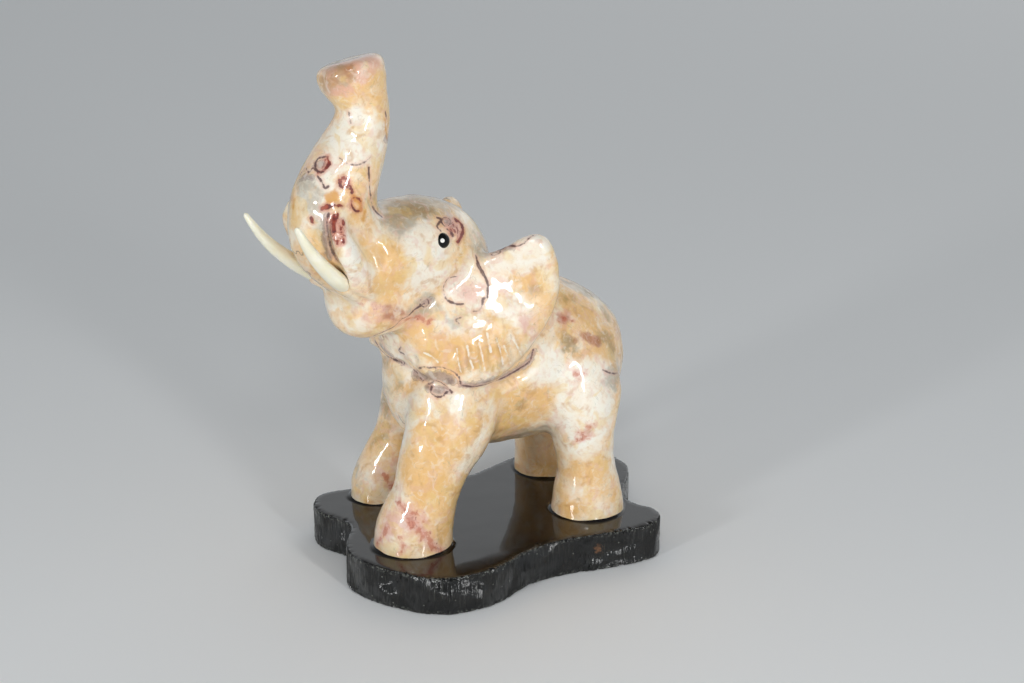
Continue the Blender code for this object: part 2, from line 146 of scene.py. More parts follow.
# Thin veins of dark mineral, and one dark line that is partly painted shade in a groove: half width in mm, then
# places in the picture
DARK_VEINS_AND_SHADE = [
    (0.2, [(476, 256), (478, 264), (483, 273), (487.5, 282), (488, 289.5), (487.5, 297)]),
    (0.14, [(487.5, 297), (483, 299), (482, 306), (478.5, 310.5), (473, 311.5)]),
    (0.1, [(457, 276.5), (448, 278.5), (443.5, 287), (444.2, 295), (448, 300.6), (456, 304), (463, 304)]),
    (0.1, [(490, 253), (493, 250), (498, 249.5), (500, 252), (497, 254.5), (492, 255), (490, 253)]),
    (0.16, [(498, 250), (502, 249), (509, 245.5), (518, 246), (524.5, 243), (529, 238), (533, 235.8)]),
    (0.16, [(373.5, 336), (385, 331), (394, 326.5), (401, 319.7), (408, 316), (415, 309.5), (424, 303.6)]),
    (0.2, [(373.5, 338), (381.5, 350.7), (392, 358.7), (401, 362), (410, 366.8), (417, 372.5)]),
    (0.14, [(415, 372), (422, 367), (431, 368), (440, 367), (450, 370), (458, 376), (460.7, 385)]),
    (0.14, [(460.7, 385), (474.5, 386.7), (490.5, 382.8), (506.6, 376), (520.4, 367.9), (529.6, 361),
        (533, 350)]),
    (0.12, [(420, 378), (428, 384), (437, 381), (446, 386), (452, 392)]),
    (0.14, [(432, 386), (431, 393), (440, 397), (447, 392)]),
    (0.12, [(401, 347), (399, 351), (404, 354)]),
    (0.17, [(603, 370), (610, 373), (616, 373.5), (622, 373)]),
    (0.1, [(604, 362), (603, 370)]),
    (0.13, [(300, 175), (305, 168), (309, 172), (313, 168), (318, 172)]),
    (0.2, [(325, 157), (319, 158), (315.5, 164), (317, 171), (323, 172)]),
    (0.14, [(317.6, 176), (322, 182), (325, 188), (328.7, 186)]),
    (0.09, [(339.7, 158), (346, 163), (355.5, 165), (364.7, 162), (371, 156.5)]),
    (0.18, [(368.8, 167.5), (369.3, 180.5), (370.2, 193.4), (372, 204.5), (376, 212), (381.3, 216.5)]),
    (0.1, [(349, 113), (350.8, 123)]),
    (0.12, [(385.5, 112), (386.4, 119)]),
    (0.12, [(437, 217.5), (441, 220), (437, 226), (441, 231)]),
    (0.1, [(442.5, 219), (446, 217.5), (450, 220), (449.5, 225), (445, 226), (442, 222.5), (442.5, 219)]),
    (0.12, [(447, 229), (450.5, 232), (453, 236)]),
    (0.1, [(460.7, 317.4), (456, 320), (459, 324)]),
    (0.1, [(420, 300), (426, 299), (429, 303), (425, 307), (420, 304)]),
    # Partly a grey vein, partly painted shade in the groove between the trunk and the lobe over the near tusk
    (0.12, [(328.6, 214), (327, 224), (328.6, 238), (332, 250), (337, 261)]),
]

# Rust-red rings, bars and stains
RUST_MARKS = [
    (0.22, [(327.5, 157.5), (328.7, 163.8), (324, 170.3), (318, 173)]),
    (0.26, [(340, 181), (343, 178), (347, 179.5), (348, 183)]),
    (0.1, [(348, 183), (346.5, 187), (342, 187.5), (340, 184), (340, 181)]),
    (0.18, [(350, 186), (351.5, 189), (352.5, 192)]),
    (0.4, [(322.5, 208.5), (326.5, 206.5)]),
    (0.14, [(327, 206.5), (335, 205), (342.5, 206)]),
    (0.24, [(311.5, 218.5), (312.3, 221.5)]),
    (0.4, [(335, 217), (334, 222), (333.5, 230)]),
    (0.16, [(338, 214), (336, 219)]),
    (0.28, [(343, 220.5), (343.5, 223.5)]),
    (0.16, [(340, 226), (341, 232)]),
    (0.13, [(337, 241), (337.5, 244)]),
    (0.13, [(343, 240), (343.5, 243)]),
    (0.06, [(352, 199), (357, 197.5), (361, 202), (361, 208), (356.5, 211), (352, 207), (351, 202),
        (352, 199)]),
    (0.24, [(455, 219), (460.8, 224), (462.6, 232), (457.5, 242)]),
    (0.2, [(450.5, 230), (451.5, 234)]),
]

# Softer salmon-coloured streaks
SALMON_MARKS = [
    (0.15, [(560, 318), (566, 319), (572, 321)]),
    (0.2, [(577, 441), (584, 431), (590, 427), (595, 423)]),
    (0.2, [(583, 438), (589, 435)]),
    (0.3, [(577, 374), (584, 373)]),
    (0.3, [(407, 319.5), (418, 317), (428, 321)]),
    (0.3, [(384, 476), (389, 483), (394, 487)]),
    (0.3, [(399, 503), (405, 511), (407, 518), (415, 524)]),
    (0.2, [(409, 513), (418, 514), (424, 520)]),
    (0.35, [(409, 519), (411, 527), (420, 531), (424, 538)]),
    (0.3, [(424, 533), (430, 543), (437, 549), (443, 552)]),
    (0.2, [(399, 538), (403, 545), (401, 552)]),
    (0.2, [(388, 527), (383, 537), (377, 543)]),
]

# Orange-brown spots
ORANGE_MARKS = [
    (0.6, [(354, 198), (360, 202), (360, 209)]),
    (1.0, [(330, 198), (334.5, 196.5)]),
    (0.5, [(365, 212), (363.5, 219)]),
    (0.3, [(294, 200), (293, 208)]),
    (0.3, [(385, 120), (387, 137)]),
]

# Thin pale streaks, most of them along the folds of the ear: partly pale lines in the stone, partly painted
# highlights on the edges of the folds
PALE_MARKS_AND_HIGHLIGHTS = [
    (0.12, [(467, 346), (469, 356), (473, 368)]),
    (0.12, [(479, 343), (482, 355), (485, 370)]),
    (0.14, [(487, 333), (489, 343), (491, 352)]),
    (0.1, [(496, 338), (500, 350), (503, 364)]),
    (0.1, [(504, 346), (508, 356), (511, 364)]),
    (0.1, [(513, 338), (519, 350), (523, 359)]),
    (0.1, [(457, 349), (458, 360), (461, 372)]),
    (0.1, [(424, 353), (431, 356), (438, 362)]),
]

# Bands of smoky grey mineral, and one that is partly painted shade in a groove
GREY_MARKS_AND_SHADE = [
    (0.9, [(417, 374), (428, 377), (441, 376), (450, 381)]),
    (0.7, [(428, 386), (437, 390), (446, 390)]),
    (0.55, [(462, 385), (476, 385), (490, 381), (505, 375.5), (519, 368), (529, 360.5), (532.5, 353)]),
    (0.5, [(316, 166), (323, 165)]),
    # Partly grey mineral, partly painted shade in the groove between the trunk and the lobe over the near tusk
    (0.45, [(326, 216), (324.5, 232), (326, 246), (330, 257)]),
    (0.3, [(301, 180), (306, 176), (312, 178)]),
    (0.35, [(381, 346), (393, 357), (404, 362)]),
    (0.4, [(424, 302), (431, 300)]),
    (0.35, [(493, 252.5), (497, 252)]),
    (0.5, [(500, 250), (512, 246)]),
    (0.5, [(447, 222), (449, 222)]),
    (0.45, [(386, 137), (388, 140)]),
]

# Clouds of colour in the stone, and among them a painted highlight below the ear and painted shade on the chest
# below it: radius in mm, strength, then places in the picture
PALE_CLOUDS = [
    (6, 1, [(352, 125), (352, 138), (350, 150), (372, 140)]),
    (5, 0.85, [(316, 190), (312, 204), (318, 218), (325, 168)]),
    (4.5, 1, [(349, 245), (352, 258), (360, 270)]),
    (5, 0.8, [(428, 232), (414, 240), (425, 262), (436, 268), (420, 285)]),
    (4.5, 1, [(462, 290), (470, 283), (468, 296)]),
    (5.5, 0.9, [(505, 262), (522, 252), (537, 250), (500, 300), (520, 310)]),
    (6.5, 1, [(588, 395), (596, 415), (575, 405), (600, 380)]),
    (5, 0.85, [(572, 435), (590, 445), (565, 415), (570, 372), (550, 365)]),
    # Its first two places are partly pale stone, partly a painted highlight below the front of the ear
    (4, 0.8, [(400, 366), (405, 372), (545, 345), (470, 320), (450, 318), (535, 375)]),
    (4, 0.6, [(404, 526), (392, 535), (345, 495), (345, 325), (360, 325)]),
    (4, 0.6, [(575, 492), (600, 510), (456, 398), (362, 480)]),
]
HONEY_CLOUDS = [
    (4.5, 0.9, [(392, 252), (396, 268), (388, 285)]),
    (4.5, 0.8, [(600, 455), (575, 470), (590, 485), (612, 490), (566, 500)]),
    (5, 0.8, [(440, 465), (425, 480), (410, 470), (438, 530), (425, 500)]),
    (4, 0.7, [(372, 440), (385, 430), (395, 450), (355, 480)]),
    (2.6, 0.8, [(354, 222), (366, 240), (378, 256), (382, 272), (376, 284)]),
    (4, 0.6, [(490, 395), (470, 405), (480, 425), (565, 330), (600, 345)]),
    (5, 0.9, [(448, 352), (462, 362), (480, 352), (500, 352), (430, 342), (412, 330)]),
    (4, 0.9, [(528, 282), (540, 292), (512, 277)]),
    (6, 0.9, [(515, 408), (530, 400), (500, 425), (545, 405)]),
    (5, 0.8, [(430, 428), (420, 445), (446, 445), (405, 382)]),
    (5.5, 0.9, [(572, 300), (590, 312), (604, 330), (610, 352)]),
    (3.5, 0.8, [(345, 318), (360, 328), (388, 322)]),
    (5, 0.65, [(350, 72), (340, 92), (368, 88), (378, 72)]),
    (4, 0.7, [(590, 505), (570, 512), (600, 470), (440, 500), (452, 512)]),
    (4, 0.6, [(294, 212), (288, 235), (384, 128)]),
    (4, 0.7, [(537, 468), (530, 490), (365, 425), (372, 400)]),
]
ROSE_CLOUDS = [
    (4, 0.8, [(380, 540), (374, 548), (388, 524)]),
    (4, 0.6, [(462, 290), (472, 288)]),
    (3.5, 0.6, [(338, 232), (345, 275), (372, 312), (392, 316), (408, 320)]),
    (4, 0.6, [(455, 228), (450, 222)]),
    (4.5, 0.5, [(568, 320), (420, 535), (412, 520), (390, 480), (384, 462)]),
    (3, 0.4, [(583, 334), (594, 341)]),
    (3.5, 0.6, [(530, 320), (534, 338), (500, 288)]),
    (5, 0.8, [(330, 78), (342, 70), (356, 62), (368, 58), (342, 84)]),
]
RED_CLOUDS = [
    (2.2, 1.3, [(333, 224), (338, 232)]),
    (1.5, 0.9, [(341, 241), (323, 163), (346, 183)]),
    (2, 0.45, [(402, 508), (410, 517), (417, 524), (425, 535), (433, 545), (441, 551)]),
    (2, 0.8, [(452, 225), (458, 232)]),
    (2, 0.5, [(364, 301), (378, 307), (330, 208), (352, 205)]),
]
SMOKE_CLOUDS = [
    (5.5, 1.0, [(394, 212), (410, 203), (426, 202), (442, 204), (398, 222)]),
    # Partly a smoky tone, partly painted shade on the chest below the ear
    (4, 0.6, [(382, 360), (380, 385), (378, 410), (386, 390)]),
    (4, 0.6, [(310, 196), (305, 180), (318, 215), (328, 238)]),
    (3, 0.7, [(424, 302), (433, 308), (416, 310), (456, 318)]),
    (3.5, 0.7, [(610, 382), (616, 376), (480, 250), (470, 232)]),
    (2.4, 1.0, [(565, 283), (573, 286), (581, 290), (589, 296), (570, 347)]),
    (4.5, 0.6, [(520, 435), (540, 430), (500, 440), (384, 405)]),
    (3, 0.6, [(355, 468), (340, 492), (380, 200), (300, 165), (362, 485)]),
]
BROWN_CLOUDS = [
    (1.7, 1.0, [(584, 335), (590, 338), (596, 341)]),
    (1.3, 0.8, [(577, 341), (560, 318), (566, 320)]),
    (2.2, 0.35, [(332, 78), (350, 70)]),
    (2.2, 0.6, [(398, 314), (388, 312)]),
    (1.8, 0.6, [(410, 517), (422, 530), (433, 545), (589, 431)]),
]
OLIVE_CLOUDS = [
    (2.4, 0.9, [(566, 278), (577, 285), (588, 294), (599, 306), (607, 318)]),
    (3, 0.7, [(572, 300), (600, 335), (612, 352), (610, 340), (574, 348)]),
    (3, 0.6, [(400, 385), (385, 365), (384, 402), (566, 340)]),
    (3.5, 0.6, [(410, 208), (430, 210), (375, 200), (378, 188)]),
    (3.5, 0.6, [(330, 78), (345, 75), (322, 84), (385, 425), (380, 445)]),
    (2.5, 0.6, [(536, 290), (466, 365), (500, 366), (520, 405)]),
]

# The surface attributes that hold the traced marks and clouds
MARKS = {
    "dark_vein": DARK_VEINS_AND_SHADE,
    "rust_mark": RUST_MARKS,
    "orange_mark": ORANGE_MARKS,
    "grey_mark": GREY_MARKS_AND_SHADE,
    "salmon_mark": SALMON_MARKS,
    "pale_mark": PALE_MARKS_AND_HIGHLIGHTS,
}
CLOUDS = {
    "pale": PALE_CLOUDS,
    "honey": HONEY_CLOUDS,
    "rose": ROSE_CLOUDS,
    "red": RED_CLOUDS,
    "smoke": SMOKE_CLOUDS,
    "olive": OLIVE_CLOUDS,
    "brown": BROWN_CLOUDS,
}

# Soft lamps: name, degrees to the right of the camera, degrees up, distance, width, height and power
LAMPS = [
    ("lamp_left", -41, 12, 0.55, 0.06, 0.09, 0.62),
    ("lamp_right", 30, 12, 0.5, 0.04, 0.15, 0.74),
    ("lamp_above_camera", 0, 40, 0.5, 0.12, 0.05, 0.36),
    ("soft_behind", 180, 34, 1.0, 0.7, 0.7, 0.42),
    ("soft_far_side", 145, 25, 0.9, 0.5, 0.5, 0.5),
]

# Kinds of node and their settings, where several share them
PLACE = "ShaderNodeTexCoord"
NOISE = "ShaderNodeTexNoise"
CELLS = "ShaderNodeTexVoronoi"
RANGE = "ShaderNodeMapRange"
MATH = "ShaderNodeMath"
MIX = "ShaderNodeMix"
BUMP = "ShaderNodeBump"
TIMES = {"operation": "MULTIPLY"}
SOFTLY = {"interpolation_type": "SMOOTHSTEP"}


def linear(hex_colour):
    """An sRGB hex colour as linear red, green, blue and alpha."""
    parts = [int(hex_colour[i : i + 2], 16) / 255 for i in (1, 3, 5)]
    return (*[c / 12.92 if c <= 0.04045 else ((c + 0.055) / 1.055) ** 2.4 for c in parts], 1)


def colour_property(name, description, hex_colour):
    return FloatVectorProperty(
        name=name, description=description, default=linear(hex_colour), size=4, min=0, max=1, subtype="COLOR"
    )


def length_property(name, description, default):
    return FloatProperty(
        name=name, description=description, default=default, min=0, unit="LENGTH", precision=5
    )


class ElephantStoneSettings(bpy.types.PropertyGroup):
    grain: length_property("Carving grain", "Spacing of the carved surface's points", 0.00045)
    polish: IntProperty(name="Polish", description="Passes of polishing", default=14, min=0)
    cream: colour_property("Cream", "The palest ground of the stone", "#F6E8D0")
    peach: colour_property("Peach", "The warm ground of the stone", "#F6D09C")
    honey: colour_property("Honey", "The honey clouds", "#EEBE76")
    yellow: colour_property("Yellow", "The clear yellow patches", "#EFCD85")
    ochre: colour_property("Ochre", "The darker grains", "#CB9550")
    white: colour_property("White", "The milky clouds", "#FBF6EA")
    rose: colour_property("Rose", "The pink clouds", "#E6B3A0")
    smoke: colour_property("Smoke", "The greyish clouds", "#9C9380")
    grey: colour_property("Grey", "The bands of smoky mineral", "#9C857E")
    orange: colour_property("Orange", "The orange rings and spots", "#DB9A38")
    rust: colour_property("Rust", "The rust-red rings and stains", "#8E2610")
    salmon: colour_property("Salmon", "The soft salmon streaks", "#C4623E")
    brown: colour_property("Brown", "The small brown smudges", "#B06C42")
    olive: colour_property("Olive", "The olive-brown clouds", "#A08450")
    vein: colour_property("Vein", "The thin dark veins", "#4C2428")


class TuskSettings(bpy.types.PropertyGroup):
    root_radius: length_property("Root radius", "Half the thickness where it leaves the stone", 0.00185)
    tip_radius: length_property("Tip radius", "Half the thickness at the tip", 0.00055)
    ivory: colour_property("Ivory", "The pale body of the tusk", "#FCF7E4")
    shade: colour_property("Shade", "The greener cast along the tusk", "#F3EDD2")


class EyeSettings(bpy.types.PropertyGroup):
    pupil_radius: length_property("Pupil radius", "Half the width of the white drop", 0.00043)
    black: colour_property("Black", "The bead's glass", "#050505")
    white: colour_property("White", "The enamel drop", "#FBFAF7")


class PlinthSettings(bpy.types.PropertyGroup):
    saw_depth: length_property("Saw mark depth", "Depth of the saw marks down the sides", 0.00045)
    saw_spacing: length_property("Saw mark spacing", "Distance between saw marks", 0.00045)
    chip_depth: length_property("Chip depth", "How far the edges are chipped", 0.0004)
    black: colour_property("Black stone", "The sawn stone", "#090908")
    scratch: colour_property("Scratches", "The stone dust left in the saw marks", "#7B7E76")
    mineral: colour_property("Mineral", "A brown spot of other mineral in the side", "#7E5638")
    lacquer: colour_property("Lacquer", "The brown cast of the poured lacquer", "#0B0603")


class StageSettings(bpy.types.PropertyGroup):
    floor: colour_property("Floor", "The plain pale floor", "#F4F5F5")
    lens: FloatProperty(
        name="Lens",
        description="Focal length in millimetres",
        default=FOCAL_PIXELS * SENSOR_WIDTH / PICTURE_SIZE[0],
        min=1,
    )


def add_node(tree, kind, settings=None, links=None):
    """Adds a node. A link's value is the socket that feeds it, or a plain value."""
    made = tree.nodes.new(kind)
    for name, value in (settings or {}).items():
        setattr(made, name, value)
    for socket, value in (links or {}).items():
        if isinstance(value, bpy.types.NodeSocket):
            tree.links.new(value, made.inputs[socket])
        else:
            made.inputs[socket].default_value = value
    return made


def new_material(name):
    """A material with only its shader and output, and that shader."""
    material = bpy.data.materials.new(name)
    material.use_nodes = True
    return material, material.node_tree, material.node_tree.nodes["Principled BSDF"]


def set_shader(tree, shader, links, **values):
    """Links what varies over the surface, and sets what is the same all over it."""
    for name, socket in links.items():
        tree.links.new(socket, shader.inputs[name])
    for name, value in values.items():
        shader.inputs[name.replace("_", " ")].default_value = value


def head_way(forward, out, up):
    return HEAD_FORWARD * forward + HEAD_LEFT * out + UP * up


def head_place(forward, out, up):
    return NECK_PIVOT + head_way(forward, out, up) * MM


def shown(name, data):
    obj = bpy.data.objects.new(name, data)
    bpy.context.scene.collection.objects.link(obj)
    return obj


def settled(obj):
    """The object's evaluated shape as a plain mesh, with the working object removed."""
    bpy.context.view_layer.update()
    graph = bpy.context.evaluated_depsgraph_get()
    mesh = bpy.data.meshes.new_from_object(obj.evaluated_get(graph))
    bpy.data.objects.remove(obj)
    return mesh


def stand_in_for(obj, node):
    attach(obj, "root")
    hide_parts(node)


@contextmanager
def reshaped(mesh):
    """The mesh opened for work on its vertices and faces, and written back at the end."""
    shape = bmesh.new()
    shape.from_mesh(mesh)
    yield shape
    shape.to_mesh(mesh)
    shape.free()


def seat_plugs():
    """Balls of stone that fill the drilled seats: centre and radius."""
    plugs = []
    for line in (LEFT_TUSK_LINE, RIGHT_TUSK_LINE):
        side = math.copysign(1, line[0][1])
        back, inward, down = TUSK_SEAT_WAY
        way = head_way(back, side * inward, down).normalized()
        root = head_place(*line[0])
        plugs += [(root + way * depth * MM, TUSK_PLUG_RADIUS * MM) for depth in TUSK_PLUG_DEPTHS]
    for node in ("eye_left", "eye_right"):
        low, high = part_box(node)
        inward = HEAD_LEFT if node == "eye_right" else -HEAD_LEFT
        plugs += [((low + high) / 2 + inward * EYE_PLUG_DEPTH * MM, EYE_PLUG_RADIUS * MM)]
    return plugs


def stone_block(settings):
    """The whole animal with its seats filled, as one even fine mesh cut flat on the plinth. The soles are
    sunk into the plinth first, because polishing rounds their rims."""
    at_sole, sunk, gap = 0.05 * MM, 1.2 * MM, 0.02 * MM
    mesh = bpy.data.meshes.new("stone_block")
    shape = bmesh.new()
    shape.from_mesh(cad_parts["elephant"].data)
    bmesh.ops.remove_doubles(shape, verts=shape.verts, dist=1e-6)
    for vert in shape.verts:
        if vert.co.z < SOLE + at_sole:
            vert.co.z -= sunk
    for centre, radius in seat_plugs():
        place = Matrix.Translation(centre)
        bmesh.ops.create_icosphere(shape, subdivisions=3, radius=radius, matrix=place)
    shape.to_mesh(mesh)
    shape.free()
    block = shown("stone_block", mesh)
    fused = block.modifiers.new("Even grain", "REMESH")
    fused.mode = "VOXEL"
    fused.voxel_size = settings.grain
    polished = block.modifiers.new("Polish", "SMOOTH")
    polished.factor = 0.5
    polished.iterations = settings.polish
    mesh = settled(block)
    with reshaped(mesh) as shape:
        cut = bmesh.ops.bisect_plane(
            shape,
            geom=list(shape.verts) + list(shape.edges) + list(shape.faces),
            dist=1e-7,
            plane_co=UP * (PLINTH_TOP + gap),
            plane_no=UP,
            clear_inner=True,
        )
        rims = [e for e in cut["geom_cut"] if isinstance(e, bmesh.types.BMEdge)]
        bmesh.ops.edgeloop_fill(shape, edges=rims)
        bmesh.ops.recalc_face_normals(shape, faces=shape.faces)
    return mesh


def tree_of(mesh):
    """The mesh's faces, ready for rays to be cast at them."""
    shape = bmesh.new()
    shape.from_mesh(mesh)
    tree = BVHTree.FromBMesh(shape)
    shape.free()
    return tree


def finder_of(mesh):
    """The mesh's vertices, ready to be searched by place."""
    finder = KDTree(len(mesh.vertices))
    for vert in mesh.vertices:
        finder.insert(vert.co, vert.index)
    finder.balance()
    return finder


def place_on_stone(tree, across, down):
    """The point of the stone at a place in the picture, or None."""
    way = -CAMERA_BACK
    way = way + CAMERA_RIGHT * (across - PICTURE_SIZE[0] / 2) / FOCAL_PIXELS
    way = way + CAMERA_UP * (PICTURE_SIZE[1] / 2 - down) / FOCAL_PIXELS
    return tree.ray_cast(CAMERA_PLACE, way.normalized())[0]


def curve_point(a, b, c, d, t):
    """A smooth curve from b to c, where a comes before and d after."""
    return b + 0.5 * t * (c - a + t * (2 * a - 5 * b + 4 * c - d + t * (3 * b - a - 3 * c + d)))


def smooth_line(line):
    """Close steps along a smooth curve through the places of a line, closed where it ends at its start."""
    closed = line[0] == line[-1]
    count = len(line)
    longest_step = 1.1
    places = []
    for i in range(count - 1):
        before = line[i - 1] if i else line[-2] if closed else line[0]
        after = line[i + 2] if i + 2 < count else line[1] if closed else line[-1]
        start, end = line[i], line[i + 1]
        steps = max(1, math.ceil(math.dist(start, end) / longest_step))
        for step in range(steps):
            places.append([curve_point(*four, step / steps) for four in zip(before, start, end, after)])
    return places + [line[-1]]


def line_on_stone(tree, line):
    """Close points along a line of picture places, as they lie on the stone, without jumps to the parts
    behind."""
    jump = 3 * MM
    found = []
    for across, down in smooth_line(line):
        point = place_on_stone(tree, across, down)
        if point is not None and (not found or (point - found[-1]).length < jump):
            found.append(point)
    return found


def on_far_side(tree, point):
    """The stone's point that mirrors this one across the head."""
    out = (point - NECK_PIVOT).dot(HEAD_LEFT)
    return tree.find_nearest(point - HEAD_LEFT * 2 * out)[0]


def gap_to_lines(finder, count, tree, lines):
    """For each vertex, how far outside the nearest line's edge it is, in mm, up to the haze's reach."""
    gap = np.full(count, HAZE_REACH)
    for half_width, line in lines:
        for point in line_on_stone(tree, line):
            for _, index, distance in finder.find_range(point, (half_width + HAZE_REACH) * MM):
                gap[index] = min(gap[index], distance / MM - half_width)
    return gap


def depth_in_clouds(finder, count, tree, clouds):
    """For each vertex, how deep it lies in a cloud of colour, from 0 to 1 and a little over."""
    depth = np.zeros(count)
    for radius, strength, places in clouds:
        for across, down in places:
            point = place_on_stone(tree, across, down)
            if point is None:
                continue
            for _, index, distance in finder.find_range(point, radius * MM):
                inside = 1 - (distance / (radius * MM)) ** 2
                depth[index] += strength * inside**2
    return np.clip(depth, 0, 1.2)


def refine_near_marks(mesh, tree):
    """Halves the surface's grain along the thin marks, so that they keep their width."""
    margin = 0.55
    finder = finder_of(mesh)
    near = np.zeros(len(mesh.vertices), dtype=bool)
    for lines in MARKS.values():
        for half_width, line in lines:
            for point in line_on_stone(tree, line):
                for _, index, _ in finder.find_range(point, (half_width + margin) * MM):
                    near[index] = True
    with reshaped(mesh) as shape:
        fine = [e for e in shape.edges if near[e.verts[0].index] and near[e.verts[1].index]]
        bmesh.ops.subdivide_edges(shape, edges=fine, cuts=1, use_grid_fill=True)


def cut_stone(mesh, tree):
    """Makes the tool's cuts and the slight unevenness of hand polishing, on both sides of the head."""
    finder = finder_of(mesh)
    count = len(mesh.vertices)
    sunk = np.zeros(count)
    for half_width, depth, line in HEAD_CUTS + EAR_CUTS:
        near = line_on_stone(tree, line)
        for points in (near, [on_far_side(tree, p) for p in near]):
            reached = np.zeros(count)
            for i, point in enumerate(points):
                fade = min(1, 3 * (i + 0.5) / len(points), 3 * (len(points) - i - 0.5) / len(points))
                for _, index, distance in finder.find_range(point, 2.4 * half_width * MM):
                    depth_here = fade * math.exp(-((distance / MM / half_width) ** 2))
                    reached[index] = max(reached[index], depth_here)
            sunk += depth * reached
    # Unevenness: how deep in mm, and how wide in mm
    for vert in mesh.vertices:
        for deep, wide in ((0.11, 2.8), (0.035, 1.1)):
            sunk[vert.index] += deep * noise.noise(vert.co / (wide * MM))
    normals = np.empty(count * 3)
    mesh.vertices.foreach_get("normal", normals)
    places = np.empty(count * 3)
    mesh.vertices.foreach_get("co", places)
    places -= normals * np.repeat(sunk * MM, 3)
    mesh.vertices.foreach_set("co", places)
    mesh.update()


def write_attribute(mesh, name, values):
    mesh.attributes.new(name, "FLOAT", "POINT").data.foreach_set("value", values.astype(np.float32))


def map_stone(mesh, tree):
    """Writes where the traced marks and clouds lie, the stone's own and the painted highlights and shade among
    them, and where it is free of both.
    """
    finder, count = finder_of(mesh), len(mesh.vertices)
    for name, lines in MARKS.items():
        write_attribute(mesh, name, gap_to_lines(finder, count, tree, lines))
    for name, clouds in CLOUDS.items():
        write_attribute(mesh, name, depth_in_clouds(finder, count, tree, clouds))
    wider, stronger = 4, 1.5
    wide = [(radius + wider, stronger, places) for clouds in CLOUDS.values() for radius, _, places in clouds]
    traced_depth = depth_in_clouds(finder, count, tree, wide)
    write_attribute(mesh, "free", 1 - np.clip(traced_depth, 0, 1))


def mottle(tree, place, size_mm, detail, warp=0.0, offset=0.0):
    """Soft patches of this size: above nought in one, below it in the next, and nought along their edges."""
    moved = {"Vector": place, "Location": (offset, offset / 2, -offset)}
    moved = add_node(tree, "ShaderNodeMapping", None, moved).outputs[0]
    values = {"Vector": moved, "Scale": 1 / (size_mm * MM), "Detail": detail, "Roughness": 0.48}
    found = add_node(tree, NOISE, None, values | {"Distortion": warp}).outputs["Fac"]
    return add_node(tree, MATH, {"operation": "SUBTRACT"}, {0: found, 1: 0.5}).outputs[0]


def away_from(tree, pattern, value):
    """How far the pattern is from this value, either way, which draws a line where it passes it."""
    off = add_node(tree, MATH, {"operation": "SUBTRACT"}, {0: pattern, 1: value}).outputs[0]
    return add_node(tree, MATH, {"operation": "ABSOLUTE"}, {0: off}).outputs[0]


def traced(tree, name, *frays):
    """A traced mark or cloud, its edge broken up by mottling: each fray is a mottle and how
    much."""
    value = add_node(tree, "ShaderNodeAttribute", {"attribute_name": name}).outputs["Fac"]
    for fray, amount in frays:
        added = {0: fray, 1: amount, 2: value}
        value = add_node(tree, MATH, {"operation": "MULTIPLY_ADD"}, added).outputs[0]
    return value


def share(tree, strength, *reaches):
    """How much of something shows: its strength where every reach is full. Each reach is a pattern, the value
    where it begins, and the value where it is full."""
    for pattern, begins, full in reaches:
        risen = add_node(tree, RANGE, SOFTLY, {0: pattern, 1: begins, 2: full}).outputs[0]
        strength = add_node(tree, MATH, TIMES, {0: risen, 1: strength}).outputs[0]
    return strength


def tinge(tree, below, colour, strength, *reaches):
    """Lays a colour over what is below, where its reaches say."""
    mixed = {0: share(tree, strength, *reaches), 6: below, 7: tuple(colour)}
    return add_node(tree, MIX, {"data_type": "RGBA"}, mixed).outputs[2]


